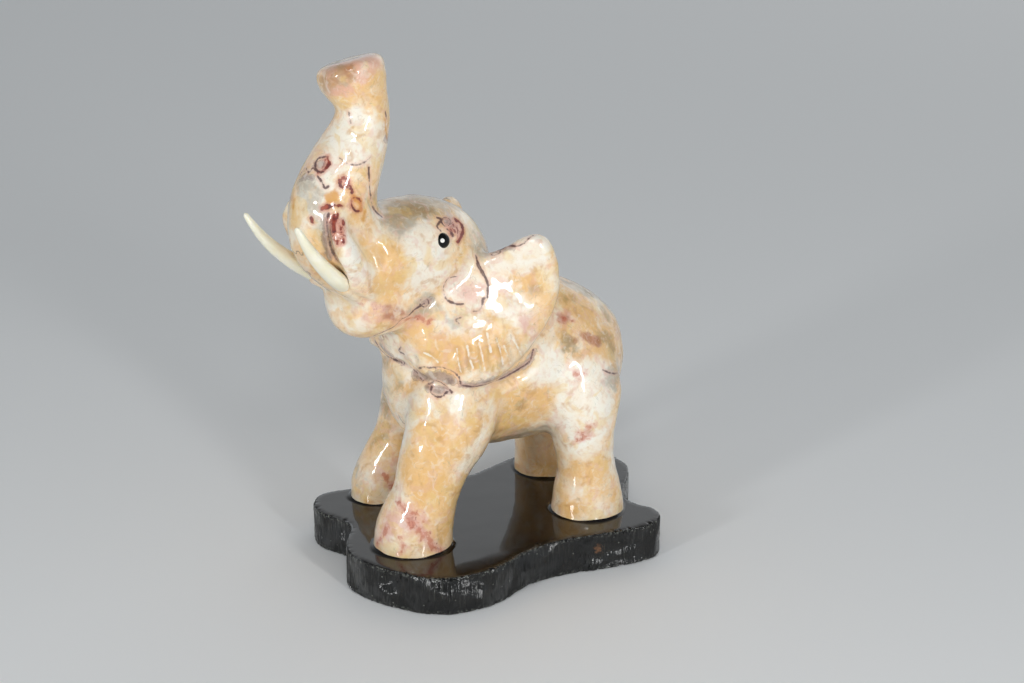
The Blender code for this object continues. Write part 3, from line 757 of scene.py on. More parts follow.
def onyx_marble(settings):
    """Polished banded onyx marble under clear lacquer: milky and honey clouds that light sinks into, with
    rust-red rings and thin smoky veins, under a wet, slightly uneven gloss. A few traced streaks, lines and
    clouds are painted highlight and painted shade."""
    material, tree, shader = new_material("lacquered onyx marble")
    place = add_node(tree, PLACE).outputs["Object"]
    broad = mottle(tree, place, 9, 4, 0.6)
    middling = mottle(tree, place, 3.4, 4, 0.9, 0.1)
    milky = mottle(tree, place, 5.5, 4, 1.4, 0.2)
    small = mottle(tree, place, 1.3, 3, 0.4, 0.3)
    fine = mottle(tree, place, 0.5, 2, 0.0, 0.4)
    web = mottle(tree, place, 0.9, 5, 1.5, 0.6)
    thread = away_from(tree, mottle(tree, place, 4.2, 3, 1.4, 1.3), 0.0)
    crack = away_from(tree, mottle(tree, place, 5, 3, 1.2, 0.5), 0.0)

    # The traced marks, their edges broken up; the pale streaks hold painted highlights, and one dark line and
    # one grey band hold painted shade
    pale = traced(tree, "pale_mark", (small, 0.5), (fine, 0.3))
    red = traced(tree, "red", (small, 1.6), (fine, 0.8))
    is_red = (traced(tree, "red"), 0.0, 0.3)
    grey = traced(tree, "grey_mark", (small, 1.8), (fine, 0.6))
    orange = traced(tree, "orange_mark", (small, 0.7), (fine, 0.4))
    salmon = traced(tree, "salmon_mark", (small, 3.0), (fine, 1.0))
    rust = traced(tree, "rust_mark", (small, 0.8), (fine, 0.5))
    vein = traced(tree, "dark_vein", (middling, 0.5), (small, 0.5), (fine, 0.3))
    free = (traced(tree, "free"), 0.0, 1.0)

    # A net of veins and small rings, for where nothing is traced
    sway = add_node(tree, NOISE, None, {"Vector": place, "Scale": 230, "Detail": 3}).outputs["Color"]
    swayed = add_node(tree, MIX, {"data_type": "VECTOR"}, {0: 0.012, 4: place, 5: sway}).outputs[1]
    net = {"Vector": swayed, "Scale": 75}
    net = add_node(tree, CELLS, {"feature": "DISTANCE_TO_EDGE"}, net).outputs["Distance"]
    dots = add_node(tree, CELLS, {"feature": "F1"}, {"Vector": swayed, "Scale": 170})
    chosen = add_node(tree, "ShaderNodeSeparateColor", None, {0: dots.outputs["Color"]}).outputs[0]
    ring = away_from(tree, dots.outputs["Distance"], 0.22)

    # Every layer from the ground up: its colour, how strong it is, and what it reaches
    layers = [
        ("peach", 1.0, (broad, -0.15, 0.08)),
        ("honey", 0.5, (middling, 0.0, 0.2)),
        ("white", 0.5, (milky, 0.02, 0.16)),
    ]
    # The clouds below are mostly the stone's own colour; the pale one also holds a painted highlight below the
    # ear, and the smoky one painted shade on the chest below the ear
    clouds = [
        ("honey", "honey", 0.85),
        ("pale", "white", 0.75),
        ("rose", "rose", 0.8),
        ("smoke", "smoke", 0.65),
        ("olive", "olive", 0.65),
        ("brown", "brown", 0.75),
    ]
    for name, colour, strength in clouds:
        depth = traced(tree, name, (middling, 2.4), (small, 1.0), (fine, 0.3))
        layers.append((colour, strength, (depth, 0.0, 1.0), (traced(tree, name), 0.0, 0.3)))
    layers += [
        # Mottling all over, from broad soft patches down to grains
        ("yellow", 0.5, (mottle(tree, place, 4.2, 3, 0.8, 1.5), 0.02, 0.15)),
        ("rose", 0.35, (mottle(tree, place, 3.1, 4, 1.2, 0.9), 0.03, 0.17)),
        ("ochre", 0.5, (mottle(tree, place, 2.7, 4, 1.2, 1.1), 0.02, 0.2), (milky, 0.08, -0.06)),
        ("white", 0.3, (mottle(tree, place, 1.9, 4, 1.5, 1.7), 0.04, 0.2)),
        ("white", 0.16, (small, 0.03, 0.2)),
        ("ochre", 0.18, (small, -0.02, -0.22)),
        ("ochre", 0.1, (fine, 0.03, 0.2)),
        ("smoke", 0.3, (thread, 0.009, 0.002), (middling, 0.06, -0.08)),
        ("white", 0.12, (crack, 0.01, 0.002), (broad, -0.02, 0.1)),
        # Pale streaks with yellower edges: partly pale lines in the stone, partly painted highlights along the
        # ear's folds
        ("ochre", 0.4, (pale, 0.9, 0.2), (middling, -0.2, 0.1)),
        ("white", 0.75, (pale, 0.12, -0.05), (middling, -0.3, 0.0)),
        # Red stains, in a rosy haze
        ("rose", 0.75, (red, 0.05, 0.7), is_red),
        ("rust", 0.8, (red, 0.35, 0.8), (web, -0.04, 0.09), is_red),
        # Smoky grey bands, clotted darker inside and with a dark rim; one of them is partly painted shade in
        # the groove between the trunk and the lobe over the near tusk
        ("grey", 0.75, (grey, 0.4, -0.3)),
        ("vein", 0.4, (grey, 0.3, -0.2), (small, 0.0, 0.14)),
        ("white", 0.35, (grey, 0.3, -0.2), (small, -0.03, -0.15)),
        ("vein", 0.35, (away_from(tree, grey, 0.18), 0.1, 0.02), (middling, -0.15, 0.05)),
        # Orange spots, and salmon streaks in a rosy haze
        ("orange", 0.85, (orange, 0.35, -0.4)),
        ("rose", 0.5, (salmon, 1.0, 0.1)),
        ("salmon", 0.6, (salmon, 0.35, -0.3)),
        ("rust", 0.35, (salmon, 0.05, -0.35), (web, 0.0, 0.12)),
        # Rust-red rings and bars with a darker edge
        ("salmon", 0.5, (rust, 0.7, 0.05)),
        ("rust", 0.95, (rust, 0.16, -0.06)),
        ("salmon", 0.5, (rust, 0.1, -0.05), (small, 0.0, 0.12)),
        ("vein", 0.6, (rust, 0.1, -0.05), (small, -0.02, -0.14)),
        ("vein", 0.3, (away_from(tree, rust, 0.0), 0.12, 0.03)),
        # Thin dark veins, in a faint rosy haze; one of them is partly painted shade in the groove between the
        # trunk and the lobe over the near tusk
        ("rose", 0.35, (vein, 0.6, 0.05)),
        ("vein", 0.88, (vein, 0.13, -0.1), (middling, -0.4, -0.1)),
        # Where nothing is traced: veins, small rings and stains of the same kinds
        ("vein", 0.7, (net, 0.024, 0.006), (mottle(tree, place, 14, 2, 0.0, 0.7), -0.02, 0.05), free),
        ("rust", 0.7, (ring, 0.09, 0.02), (chosen, 0.86, 0.861), free),
        ("salmon", 0.5, (mottle(tree, place, 4.5, 5, 1.5, 0.8), 0.12, 0.2), free),
    ]
    ground = tuple(settings.cream)
    for colour, strength, *reaches in layers:
        ground = tinge(tree, ground, getattr(settings, colour), strength, *reaches)

    lacquer = {"Height": mottle(tree, place, 2.2, 2), "Strength": 1.0, "Distance": 0.00003}
    lacquer = add_node(tree, BUMP, None, lacquer).outputs[0]
    pores = {"Height": fine, "Strength": 0.5, "Distance": 0.00001, "Normal": lacquer}
    pores = add_node(tree, BUMP, None, pores).outputs[0]
    set_shader(
        tree,
        shader,
        {"Base Color": ground, "Coat Normal": lacquer, "Normal": pores},
        Roughness=0.35,
        IOR=1.5,
        Coat_Weight=1.0,
        Coat_Roughness=0.03,
        Coat_IOR=1.5,
        Subsurface_Weight=0.25,
        Subsurface_Radius=(1.0, 0.8, 0.5),
        Subsurface_Scale=0.0007,
    )
    return material


class FIGURINE_OT_carve_stone(bpy.types.Operator):
    """Carves, polishes and lacquers the stone elephant"""

    bl_idname = "figurine.carve_stone"
    bl_label = "Carve the Stone"

    def execute(self, context):
        settings = context.scene.elephant_stone
        mesh = stone_block(settings)
        tree = tree_of(mesh)
        refine_near_marks(mesh, tree)
        cut_stone(mesh, tree)
        map_stone(mesh, tree_of(mesh))
        mesh.shade_smooth()
        mesh.materials.clear()
        mesh.materials.append(onyx_marble(settings))
        stand_in_for(shown("carved_elephant", mesh), "elephant")
        return {"FINISHED"}


def new_tree(name, sockets):
    """A Geometry Nodes tree with a geometry in and out, and these named inputs: name, kind, default."""
    tree = bpy.data.node_groups.new(name, "GeometryNodeTree")
    for way in ("OUTPUT", "INPUT"):
        tree.interface.new_socket("Geometry", in_out=way, socket_type="NodeSocketGeometry")
    for label, kind, default in sockets:
        socket = tree.interface.new_socket(label, in_out="INPUT", socket_type=kind)
        if default is not None:
            socket.default_value = default
    return tree, tree.nodes.new("NodeGroupInput"), tree.nodes.new("NodeGroupOutput")


def run_tree(obj, tree, values):
    """Runs a Geometry Nodes tree on the object and gives back the plain mesh."""
    modifier = obj.modifiers.new(tree.name, "NODES")
    modifier.node_group = tree
    for item in tree.interface.items_tree:
        if item.in_out == "INPUT" and item.name in values:
            modifier[item.identifier] = values[item.name]
    return settled(obj)


def finish_tree(tree, start, end, geometry):
    """Shades the geometry smooth and ends the tree in Realize Instances and Set Material."""
    smooth = add_node(tree, "GeometryNodeSetShadeSmooth", None, {0: geometry}).outputs[0]
    real = add_node(tree, "GeometryNodeRealizeInstances", None, {0: smooth}).outputs[0]
    dressed = {0: real, "Material": start.outputs["Material"]}
    done = add_node(tree, "GeometryNodeSetMaterial", None, dressed)
    tree.links.new(done.outputs[0], end.inputs[0])


def tusk_tree():
    """Sweeps a round section along the tusk's line, as thick as the line's own radius."""
    sockets = [
        ("Sides", "NodeSocketInt", 24),
        ("Flatness", "NodeSocketFloat", 0.8),
        ("Material", "NodeSocketMaterial", None),
    ]
    tree, start, end = new_tree("shaped tusk", sockets)
    ring = {"Resolution": start.outputs["Sides"], "Radius": 1.0}
    ring = add_node(tree, "GeometryNodeCurvePrimitiveCircle", None, ring)
    squeeze = add_node(tree, "ShaderNodeCombineXYZ", None, {0: 1.0, 1: start.outputs["Flatness"], 2: 1.0})
    flat = {0: ring.outputs[0], "Scale": squeeze.outputs[0]}
    flat = add_node(tree, "GeometryNodeTransform", None, flat).outputs[0]
    thickness = add_node(tree, "GeometryNodeInputRadius").outputs[0]
    swept = {"Curve": start.outputs[0], "Profile Curve": flat, "Scale": thickness, "Fill Caps": True}
    body = add_node(tree, "GeometryNodeCurveToMesh", None, swept)
    finish_tree(tree, start, end, body.outputs[0])
    return tree


def tusk_line(name, line, settings):
    """A tusk's line as a smooth curve with its thickness at each point, rounded off at the tip."""
    rounded_length = 0.8 * MM
    forward, out, up = line[0]
    back, inward, down = (way * TUSK_ROOT_DEPTH for way in TUSK_SEAT_WAY)
    places = [(forward + back, out + math.copysign(1, out) * inward, up + down)] + line
    data = bpy.data.curves.new(name, "CURVE")
    data.dimensions = "3D"
    data.resolution_u = 16
    spline = data.splines.new("BEZIER")
    spline.bezier_points.add(len(places) - 1)
    for point, place in zip(spline.bezier_points, places):
        point.co = head_place(*place)
        point.handle_left_type = point.handle_right_type = "AUTO"
    steps = [v.co.copy() for v in settled(shown(name, data)).vertices]
    lengths = [0.0]
    for a, b in zip(steps, steps[1:]):
        lengths.append(lengths[-1] + (b - a).length)
    data = bpy.data.curves.new(name, "CURVE")
    data.dimensions = "3D"
    spline = data.splines.new("POLY")
    spline.points.add(len(steps) - 1)
    for point, place, length in zip(spline.points, steps, lengths):
        taper = 1 - (length / lengths[-1]) ** 1.7
        thick = settings.tip_radius + (settings.root_radius - settings.tip_radius) * taper
        left = lengths[-1] - length
        if left < rounded_length:
            thick *= math.sqrt(max(0.0, 1 - (1 - left / rounded_length) ** 2))
        point.co = (*place, 1)
        point.radius = max(thick, 1e-5)
    return shown(name, data)


def ivory_resin(settings):
    """Polished ivory-white resin: cream with a faint green cast in lengthwise streaks, which light enters a
    little, and a smooth buffed shine."""
    material, tree, shader = new_material("polished ivory resin")
    place = add_node(tree, PLACE).outputs["Object"]
    along = add_node(tree, "ShaderNodeMapping", None, {"Vector": place, "Scale": (1, 0.35, 0.35)}).outputs[0]
    streak = {"Vector": along, "Scale": 900, "Detail": 3, "Roughness": 0.5}
    streak = add_node(tree, NOISE, None, streak).outputs["Fac"]
    amount = add_node(tree, RANGE, None, {0: streak, 1: 0.35, 2: 0.7}).outputs[0]
    body = tinge(tree, tuple(settings.ivory), settings.shade, amount)
    buffed = add_node(tree, BUMP, None, {"Height": streak, "Distance": 0.00001, "Strength": 0.5}).outputs[0]
    set_shader(
        tree,
        shader,
        {"Base Color": body, "Normal": buffed},
        Roughness=0.28,
        IOR=1.5,
        Subsurface_Weight=0.4,
        Subsurface_Radius=(1.0, 0.9, 0.6),
        Subsurface_Scale=0.001,
        Coat_Weight=0.4,
        Coat_Roughness=0.08,
    )
    return material


class FIGURINE_OT_set_tusks(bpy.types.Operator):
    """Shapes the two inset tusks"""

    bl_idname = "figurine.set_tusks"
    bl_label = "Set the Tusks"

    def execute(self, context):
        settings = context.scene.elephant_tusks
        material = ivory_resin(settings)
        tree = tusk_tree()
        for node, line in (("tusk_left", LEFT_TUSK_LINE), ("tusk_right", RIGHT_TUSK_LINE)):
            name = "polished_" + node
            mesh = run_tree(tusk_line(name, line, settings), tree, {"Material": material})
            stand_in_for(shown(name, mesh), node)
        return {"FINISHED"}


def black_glass(settings):
    """Pressed black glass, fire-polished: opaque and mirror-bright."""
    material, tree, shader = new_material("fire-polished black glass")
    place = add_node(tree, PLACE).outputs["Object"]
    flow = add_node(tree, NOISE, None, {"Vector": place, "Scale": 900, "Detail": 1}).outputs["Fac"]
    bump = add_node(tree, BUMP, None, {"Height": flow, "Distance": 0.00001, "Strength": 0.3}).outputs[0]
    black = tuple(settings.black)
    set_shader(tree, shader, {"Normal": bump}, Base_Color=black, Roughness=0.05, IOR=1.4)
    return material


def white_enamel(settings):
    """A drop of white enamel, painted: opaque, faintly uneven and glossy."""
    material, tree, shader = new_material("glossy white enamel")
    place = add_node(tree, PLACE).outputs["Object"]
    flow = add_node(tree, NOISE, None, {"Vector": place, "Scale": 2500, "Detail": 2}).outputs["Fac"]
    uneven = tinge(tree, tuple(settings.white), linear("#E9E6DF"), flow)
    set_shader(tree, shader, {"Base Color": uneven}, Roughness=0.15, IOR=1.5)
    return material


def bead(name, centre, outward, radius, pupil_radius):
    """A glass bead with a slightly raised drop of enamel in the middle of its face."""
    rings, sides = 36, 40
    across = outward.orthogonal().normalized()
    other = outward.cross(across)
    mesh = bpy.data.meshes.new(name)
    with reshaped(mesh) as shape:
        rows = []
        for ring in range(1, rings):
            turn = math.pi * (ring / rings) ** 1.25
            from_axis = math.sin(turn) * radius
            in_front = turn < math.pi / 2
            height = math.cos(turn) * radius * (EYE_FLATNESS if in_front else 1)
            if in_front and from_axis < pupil_radius:
                height += DROP_HEIGHT * math.sqrt(1 - (from_axis / pupil_radius) ** 2)
            row = []
            for side in range(sides):
                angle = 2 * math.pi * side / sides
                offset = across * math.cos(angle) + other * math.sin(angle)
                row.append(shape.verts.new(centre + outward * height + offset * from_axis))
            rows.append((row, from_axis))
        front = shape.verts.new(centre + outward * (radius * EYE_FLATNESS + DROP_HEIGHT))
        back = shape.verts.new(centre - outward * radius)
        for side in range(sides):
            after = (side + 1) % sides
            shape.faces.new((front, rows[0][0][side], rows[0][0][after])).material_index = 1
            shape.faces.new((back, rows[-1][0][after], rows[-1][0][side]))
            for i, ((upper, _), (lower, from_axis)) in enumerate(zip(rows, rows[1:])):
                face = shape.faces.new((upper[side], lower[side], lower[after], upper[after]))
                face.material_index = int(i < rings / 3 and from_axis < pupil_radius)
        bmesh.ops.recalc_face_normals(shape, faces=shape.faces)
    mesh.shade_smooth()
    return mesh


class FIGURINE_OT_set_eyes(bpy.types.Operator):
    """Sets the two glass bead eyes"""

    bl_idname = "figurine.set_eyes"
    bl_label = "Set the Eyes"

    def execute(self, context):
        settings = context.scene.elephant_eyes
        materials = (black_glass(settings), white_enamel(settings))
        forward, out, up = EYE_LOOKS
        for node, side in (("eye_left", 1), ("eye_right", -1)):
            low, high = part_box(node)
            outward = head_way(forward, out * side, up).normalized()
            radius = min(high - low) * EYE_SHARE
            mesh = bead(node + "_bead", (low + high) / 2, outward, radius, settings.pupil_radius)
            for material in materials:
                mesh.materials.append(material)
            stand_in_for(shown(node + "_bead", mesh), node)
        return {"FINISHED"}


def closed_spline(points, spacing):
    """A closed smooth line through the points, with even steps."""
    fineness = 12
    count = len(points)
    dense = []
    for i in range(count):
        four = [points[(i + k) % count] for k in (-1, 0, 1, 2)]
        dense += [curve_point(*four, step / fineness) for step in range(fineness)]
    closed = np.array(dense + dense[:1])
    lengths = np.concatenate([[0], np.cumsum(np.linalg.norm(np.diff(closed, axis=0), axis=1))])
    wanted = np.linspace(0, lengths[-1], int(lengths[-1] / spacing), endpoint=False)
    return np.stack([np.interp(wanted, lengths, closed[:, k]) for k in range(2)], axis=1)


def plinth_outline(spacing):
    """The plinth's outline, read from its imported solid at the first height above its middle, and smoothed."""
    low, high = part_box("plinth")
    places = np.array([v.co[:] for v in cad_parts["plinth"].data.vertices])
    middle = (np.array(low) + np.array(high))[:2] / 2
    heights = np.unique(np.round(places[:, 2], 6))
    level = heights[heights > PLINTH_TOP / 2][0]
    wall = places[np.abs(places[:, 2] - level) < 2e-6][:, :2]
    wall = np.unique(np.round(wall, 6), axis=0)
    turns = np.arctan2(*(wall - middle).T[::-1])
    return closed_spline(wall[np.argsort(turns)], spacing)


def outward_ways(line):
    """The outward normal at each step of a closed line that runs anticlockwise."""
    along = np.roll(line, -1, axis=0) - np.roll(line, 1, axis=0)
    along /= np.linalg.norm(along, axis=1)[:, None]
    return np.stack([along[:, 1], -along[:, 0]], axis=1)


def slab_profile(edge):
    """Steps round the slab's edge: how far inside the outline, height, share of sawn wall."""
    inset = 1.6 * MM
    turns = [math.pi / 2 * i / 4 for i in range(5)]
    steps = [(inset, PLINTH_TOP, 0.0), (inset * 0.75, PLINTH_TOP, 0.0), (edge * 1.6, PLINTH_TOP, 0.25)]
    for i, turn in enumerate(turns):
        height = PLINTH_TOP - edge * (1 - math.cos(turn))
        steps.append((edge * (1 - math.sin(turn)), height, 0.6 + 0.1 * i))
    rows = 34
    for i in range(1, rows):
        steps.append((0.0, PLINTH_TOP - edge - (PLINTH_TOP - 2 * edge) * i / rows, 1.0))
    for turn in turns:
        steps.append((edge * (1 - math.cos(turn)), edge * (1 - math.sin(turn)), 1.0))
    return steps + [(inset, 0.0, 0.0)]


def slab_mesh():
    """The slab as an even grid of points round its edge, closed by a flat top and underside."""
    outline = plinth_outline(0.13 * MM)
    outward = outward_ways(outline)
    mesh = bpy.data.meshes.new("plinth_slab")
    with reshaped(mesh) as shape:
        wall = shape.verts.layers.float.new("sawn")
        rows = []
        for inside, height, sawn in slab_profile(SLAB_EDGE):
            row = []
            for (x, y), (nx, ny) in zip(outline, outward):
                vert = shape.verts.new((x - nx * inside, y - ny * inside, height))
                vert[wall] = sawn
                row.append(vert)
            rows.append(row)
        for upper, lower in zip(rows, rows[1:]):
            for i in range(len(outline)):
                after = (i + 1) % len(outline)
                shape.faces.new((upper[i], lower[i], lower[after], upper[after]))
        shape.faces.new(rows[0])
        shape.faces.new(list(reversed(rows[-1])))
        bmesh.ops.recalc_face_normals(shape, faces=shape.faces)
    return mesh


def from_mid_height(tree, place):
    """How far a point of the slab lies above or below the middle of its height."""
    height = add_node(tree, "ShaderNodeSeparateXYZ", None, {0: place}).outputs[2]
    return away_from(tree, height, PLINTH_TOP / 2)


def saw_tree():
    """Cuts upright saw marks into the slab's side and chips its edges."""
    sockets = [
        ("Saw mark depth", "NodeSocketFloat", 0.0002),
        ("Saw mark spacing", "NodeSocketFloat", 0.0004),
        ("Chip depth", "NodeSocketFloat", 0.0004),
        ("Material", "NodeSocketMaterial", None),
    ]
    tree, start, end = new_tree("sawn side", sockets)
    place = add_node(tree, "GeometryNodeInputPosition").outputs[0]
    normal = add_node(tree, "GeometryNodeInputNormal").outputs[0]
    number = {"data_type": "FLOAT"}
    sawn = add_node(tree, "GeometryNodeInputNamedAttribute", number, {"Name": "sawn"}).outputs[0]
    upright = add_node(tree, "ShaderNodeVectorMath", TIMES, {0: place, 1: (1, 1, 0.09)}).outputs[0]
    often = {0: 1.0, 1: start.outputs["Saw mark spacing"]}
    often = add_node(tree, MATH, {"operation": "DIVIDE"}, often).outputs[0]
    marks = {"Vector": upright, "Scale": often, "Detail": 2.0, "Roughness": 0.6}
    marks = add_node(tree, NOISE, None, marks).outputs["Fac"]
    broad = add_node(tree, NOISE, None, {"Vector": place, "Scale": 260.0, "Detail": 3.0}).outputs["Fac"]
    deep = add_node(tree, RANGE, None, {0: broad, 1: 0.35, 2: 0.65, 3: 0.3, 4: 1.0}).outputs[0]
    flakes = add_node(tree, NOISE, None, {"Vector": place, "Scale": 900.0, "Detail": 3.0}).outputs["Fac"]
    chips = add_node(tree, RANGE, None, {0: flakes, 1: 0.56, 2: 0.7}).outputs[0]
    rim = {0: from_mid_height(tree, place), 1: PLINTH_TOP / 2 - 1.1 * MM, 2: PLINTH_TOP / 2}
    rim = add_node(tree, RANGE, SOFTLY, rim).outputs[0]
    cuts = []
    for *patterns, depth in ((marks, deep, "Saw mark depth"), (chips, rim, "Chip depth")):
        cut = add_node(tree, MATH, TIMES, {0: patterns[0], 1: patterns[1]}).outputs[0]
        cuts.append(add_node(tree, MATH, TIMES, {0: cut, 1: start.outputs[depth]}).outputs[0])
    inward = add_node(tree, MATH, {"operation": "ADD"}, {0: cuts[0], 1: cuts[1]}).outputs[0]
    for factor in (sawn, -1.0):
        inward = add_node(tree, MATH, TIMES, {0: inward, 1: factor}).outputs[0]
    offset = {0: normal, "Scale": inward}
    offset = add_node(tree, "ShaderNodeVectorMath", {"operation": "SCALE"}, offset).outputs[0]
    moved = add_node(tree, "GeometryNodeSetPosition", None, {0: start.outputs[0], "Offset": offset})
    finish_tree(tree, start, end, moved.outputs[0])
    return tree


def foot_rings(stone):
    """The outline of each foot just above the plinth."""
    steps, farthest, expected = 72, 12 * MM, 6 * MM
    tree = tree_of(stone)
    rings = []
    for x, y in FOOT_CENTRES:
        centre = Vector((x * MM, y * MM, PLINTH_TOP + 0.5 * MM))
        ring = []
        for step in range(steps):
            turn = 2 * math.pi * step / steps
            way = Vector((math.cos(turn), math.sin(turn), 0))
            hit = tree.ray_cast(centre, way, farthest)[0]
            ring.append(hit.xy if hit else centre.xy + way.xy * expected)
        rings.append(np.array(ring))
    return rings


def lacquer_fillets(shape, stone):
    """Adds the hollow fillet where the lacquer climbed each foot, narrower near the plinth's edge."""
    wide, tall, steps = 1.0 * MM, 0.36 * MM, 8
    profile = [(-0.35 * MM, tall)]
    for i in range(steps + 1):
        out = i / steps
        profile.append((wide * out, tall * (1 - out) ** 2.6 - 0.012 * MM * out))
    profile += [(wide + 0.05 * MM, -0.1 * MM), (-0.35 * MM, -0.1 * MM)]
    plinth_edge = plinth_outline(0.5 * MM)
    for foot, outline in enumerate(foot_rings(stone)):
        rows = []
        for step, ((x, y), (nx, ny)) in enumerate(zip(outline, outward_ways(outline))):
            swell = 1 + 0.3 * math.sin(step * 0.26 + foot) + 0.12 * math.sin(step * 0.61 + 2 * foot)
            room = np.linalg.norm(plinth_edge - (x, y), axis=1).min() - 0.45 * MM
            swell = min(swell, max(room / wide, 0.1))
            row = []
            for out, height in profile:
                out = out * swell if out > 0 else out
                height = height * swell if height > 0 else height
                row.append(shape.verts.new((x + nx * out, y + ny * out, PLINTH_TOP + height)))
            rows.append(row)
        for row, following in zip(rows, rows[1:] + rows[:1]):
            for k in range(len(profile)):
                after = (k + 1) % len(profile)
                face = shape.faces.new((row[k], row[after], following[after], following[k]))
                face.material_index = 1
                face.smooth = 0 < k < steps + 1


def black_stone(settings):
    """Black stone, saw-cut at the sides and flooded with brown-tinged lacquer on top: a dark wet mirror
    above, dull streaks of grey stone dust and pale crystal specks at the sides."""
    material, tree, shader = new_material("lacquered sawn black stone")
    place = add_node(tree, PLACE).outputs["Object"]
    side = add_node(tree, RANGE, None, {0: traced(tree, "sawn"), 1: 0.3, 2: 0.9}).outputs[0]
    upright = add_node(tree, "ShaderNodeMapping", None, {"Vector": place, "Scale": (1, 1, 0.1)}).outputs[0]
    # Saw streaks, patches of dust, flakes, and the lacquer's waves and runs: place, how many to the metre,
    # detail and roughness. The finest are 0.4 mm apart.
    noises = [
        (upright, 2600, 3, 0.6),
        (place, 190, 4, 0.6),
        (place, 1700, 3, 0.7),
        (place, 110, 2, 0.5),
        (place, 130, 1.5, 0.4),
    ]
    patterns = []
    for vector, scale, detail, rough in noises:
        values = {"Vector": vector, "Scale": scale, "Detail": detail, "Roughness": rough}
        patterns.append(add_node(tree, NOISE, None, values).outputs["Fac"])
    streaks, patches, flakes, swell, runs = patterns

    # Stone dust in the saw marks, crystal specks, and flakes along the rims
    dusty = share(tree, 0.26, (streaks, 0.52, 0.7), (patches, 0.42, 0.62))
    specks = add_node(tree, CELLS, {"feature": "F1"}, {"Vector": place, "Scale": 1500})
    speck = add_node(tree, RANGE, None, {0: specks.outputs["Distance"], 1: 0.24, 2: 0.14}).outputs[0]
    chosen = add_node(tree, "ShaderNodeSeparateColor", None, {0: specks.outputs["Color"]}).outputs[0]
    chosen = add_node(tree, MATH, {"operation": "GREATER_THAN"}, {0: chosen, 1: 0.93}).outputs[0]
    near_rim = {0: from_mid_height(tree, place), 1: PLINTH_TOP / 2 - 1.0 * MM, 2: PLINTH_TOP / 2 - 0.2 * MM}
    near_rim = add_node(tree, RANGE, None, near_rim).outputs[0]
    flake = add_node(tree, RANGE, None, {0: flakes, 1: 0.54, 2: 0.62}).outputs[0]
    pale = dusty
    for pattern, where in ((speck, chosen), (flake, near_rim)):
        spots = add_node(tree, MATH, TIMES, {0: pattern, 1: where}).outputs[0]
        pale = add_node(tree, MATH, {"operation": "MAXIMUM"}, {0: pale, 1: spots}).outputs[0]
    pale = add_node(tree, MATH, TIMES, {0: pale, 1: 0.75}).outputs[0]
    wall = tinge(tree, tuple(settings.black), settings.scratch, pale)

    # One brown spot with a frayed edge
    spot = {0: place, 1: BROWN_SPOT}
    spot = add_node(tree, "ShaderNodeVectorMath", {"operation": "DISTANCE"}, spot).outputs["Value"]
    spot = add_node(tree, MATH, {"operation": "MULTIPLY_ADD"}, {0: flakes, 1: 0.004, 2: spot}).outputs[0]
    spot = add_node(tree, RANGE, None, {0: spot, 1: 0.003, 2: 0.0022, 4: 0.6}).outputs[0]
    wall = tinge(tree, wall, settings.mineral, spot)
    whole = {0: side, 6: tuple(settings.lacquer), 7: wall}
    whole = add_node(tree, MIX, {"data_type": "RGBA"}, whole).outputs[2]
    roughness = add_node(tree, RANGE, None, {0: side, 1: 0.0, 2: 1.0, 3: 0.12, 4: 0.42}).outputs[0]

    # The lacquer's slow waves, its sagging runs down the sides, and the ribs that show through it
    wave = {"Height": swell, "Distance": 0.00006, "Strength": 1.0}
    wave = add_node(tree, BUMP, None, wave).outputs[0]
    sagged = {"Height": runs, "Distance": 0.009, "Strength": side, "Normal": wave}
    sagged = add_node(tree, BUMP, None, sagged).outputs[0]
    ribs = {"Height": streaks, "Distance": 0.00012, "Strength": side, "Normal": sagged}
    ribs = add_node(tree, BUMP, None, ribs).outputs[0]
    links = {"Base Color": whole, "Roughness": roughness, "Normal": ribs, "Coat Normal": ribs}
    gloss = {"Coat_Weight": 0.85, "Coat_Roughness": 0.05, "Coat_IOR": 1.5}
    set_shader(tree, shader, links, IOR=1.5, Specular_IOR_Level=0.1, **gloss)
    return material


def pooled_lacquer(settings):
    """Clear lacquer that pooled thick round the feet: dark brown from the stone below, and wet."""
    material, tree, shader = new_material("pooled clear lacquer")
    place = add_node(tree, PLACE).outputs["Object"]
    flow = add_node(tree, NOISE, None, {"Vector": place, "Scale": 500, "Detail": 2}).outputs["Fac"]
    bump = add_node(tree, BUMP, None, {"Height": flow, "Distance": 0.00005, "Strength": 0.8}).outputs[0]
    brown = tuple(settings.lacquer)
    set_shader(tree, shader, {"Normal": bump}, Base_Color=brown, Roughness=0.05, IOR=1.5)
    return material


class FIGURINE_OT_saw_plinth(bpy.types.Operator):
    """Saws and lacquers the black stone plinth"""

    bl_idname = "figurine.saw_plinth"
    bl_label = "Saw the Plinth"

    def execute(self, context):
        settings = context.scene.elephant_plinth
        stone = bpy.data.objects["carved_elephant"].data
        values = {
            "Saw mark depth": settings.saw_depth,
            "Saw mark spacing": settings.saw_spacing,
            "Chip depth": settings.chip_depth,
            "Material": black_stone(settings),
        }
        mesh = run_tree(shown("sawn_plinth", slab_mesh()), saw_tree(), values)
        mesh.materials.append(pooled_lacquer(settings))
        with reshaped(mesh) as shape:
            lacquer_fillets(shape, stone)
            bmesh.ops.recalc_face_normals(shape, faces=shape.faces)
        stand_in_for(shown("sawn_plinth", mesh), "plinth")
        return {"FINISHED"}


def make_floor(settings):
    """A wide plain pale floor."""
    material, tree, shader = new_material("plain pale floor")
    set_shader(tree, shader, {}, Base_Color=tuple(settings.floor), Roughness=0.85)
    mesh = bpy.data.meshes.new("floor")
    with reshaped(mesh) as shape:
        bmesh.ops.create_grid(shape, x_segments=1, y_segments=1, size=3)
    mesh.materials.append(material)
    floor = shown("floor", mesh)


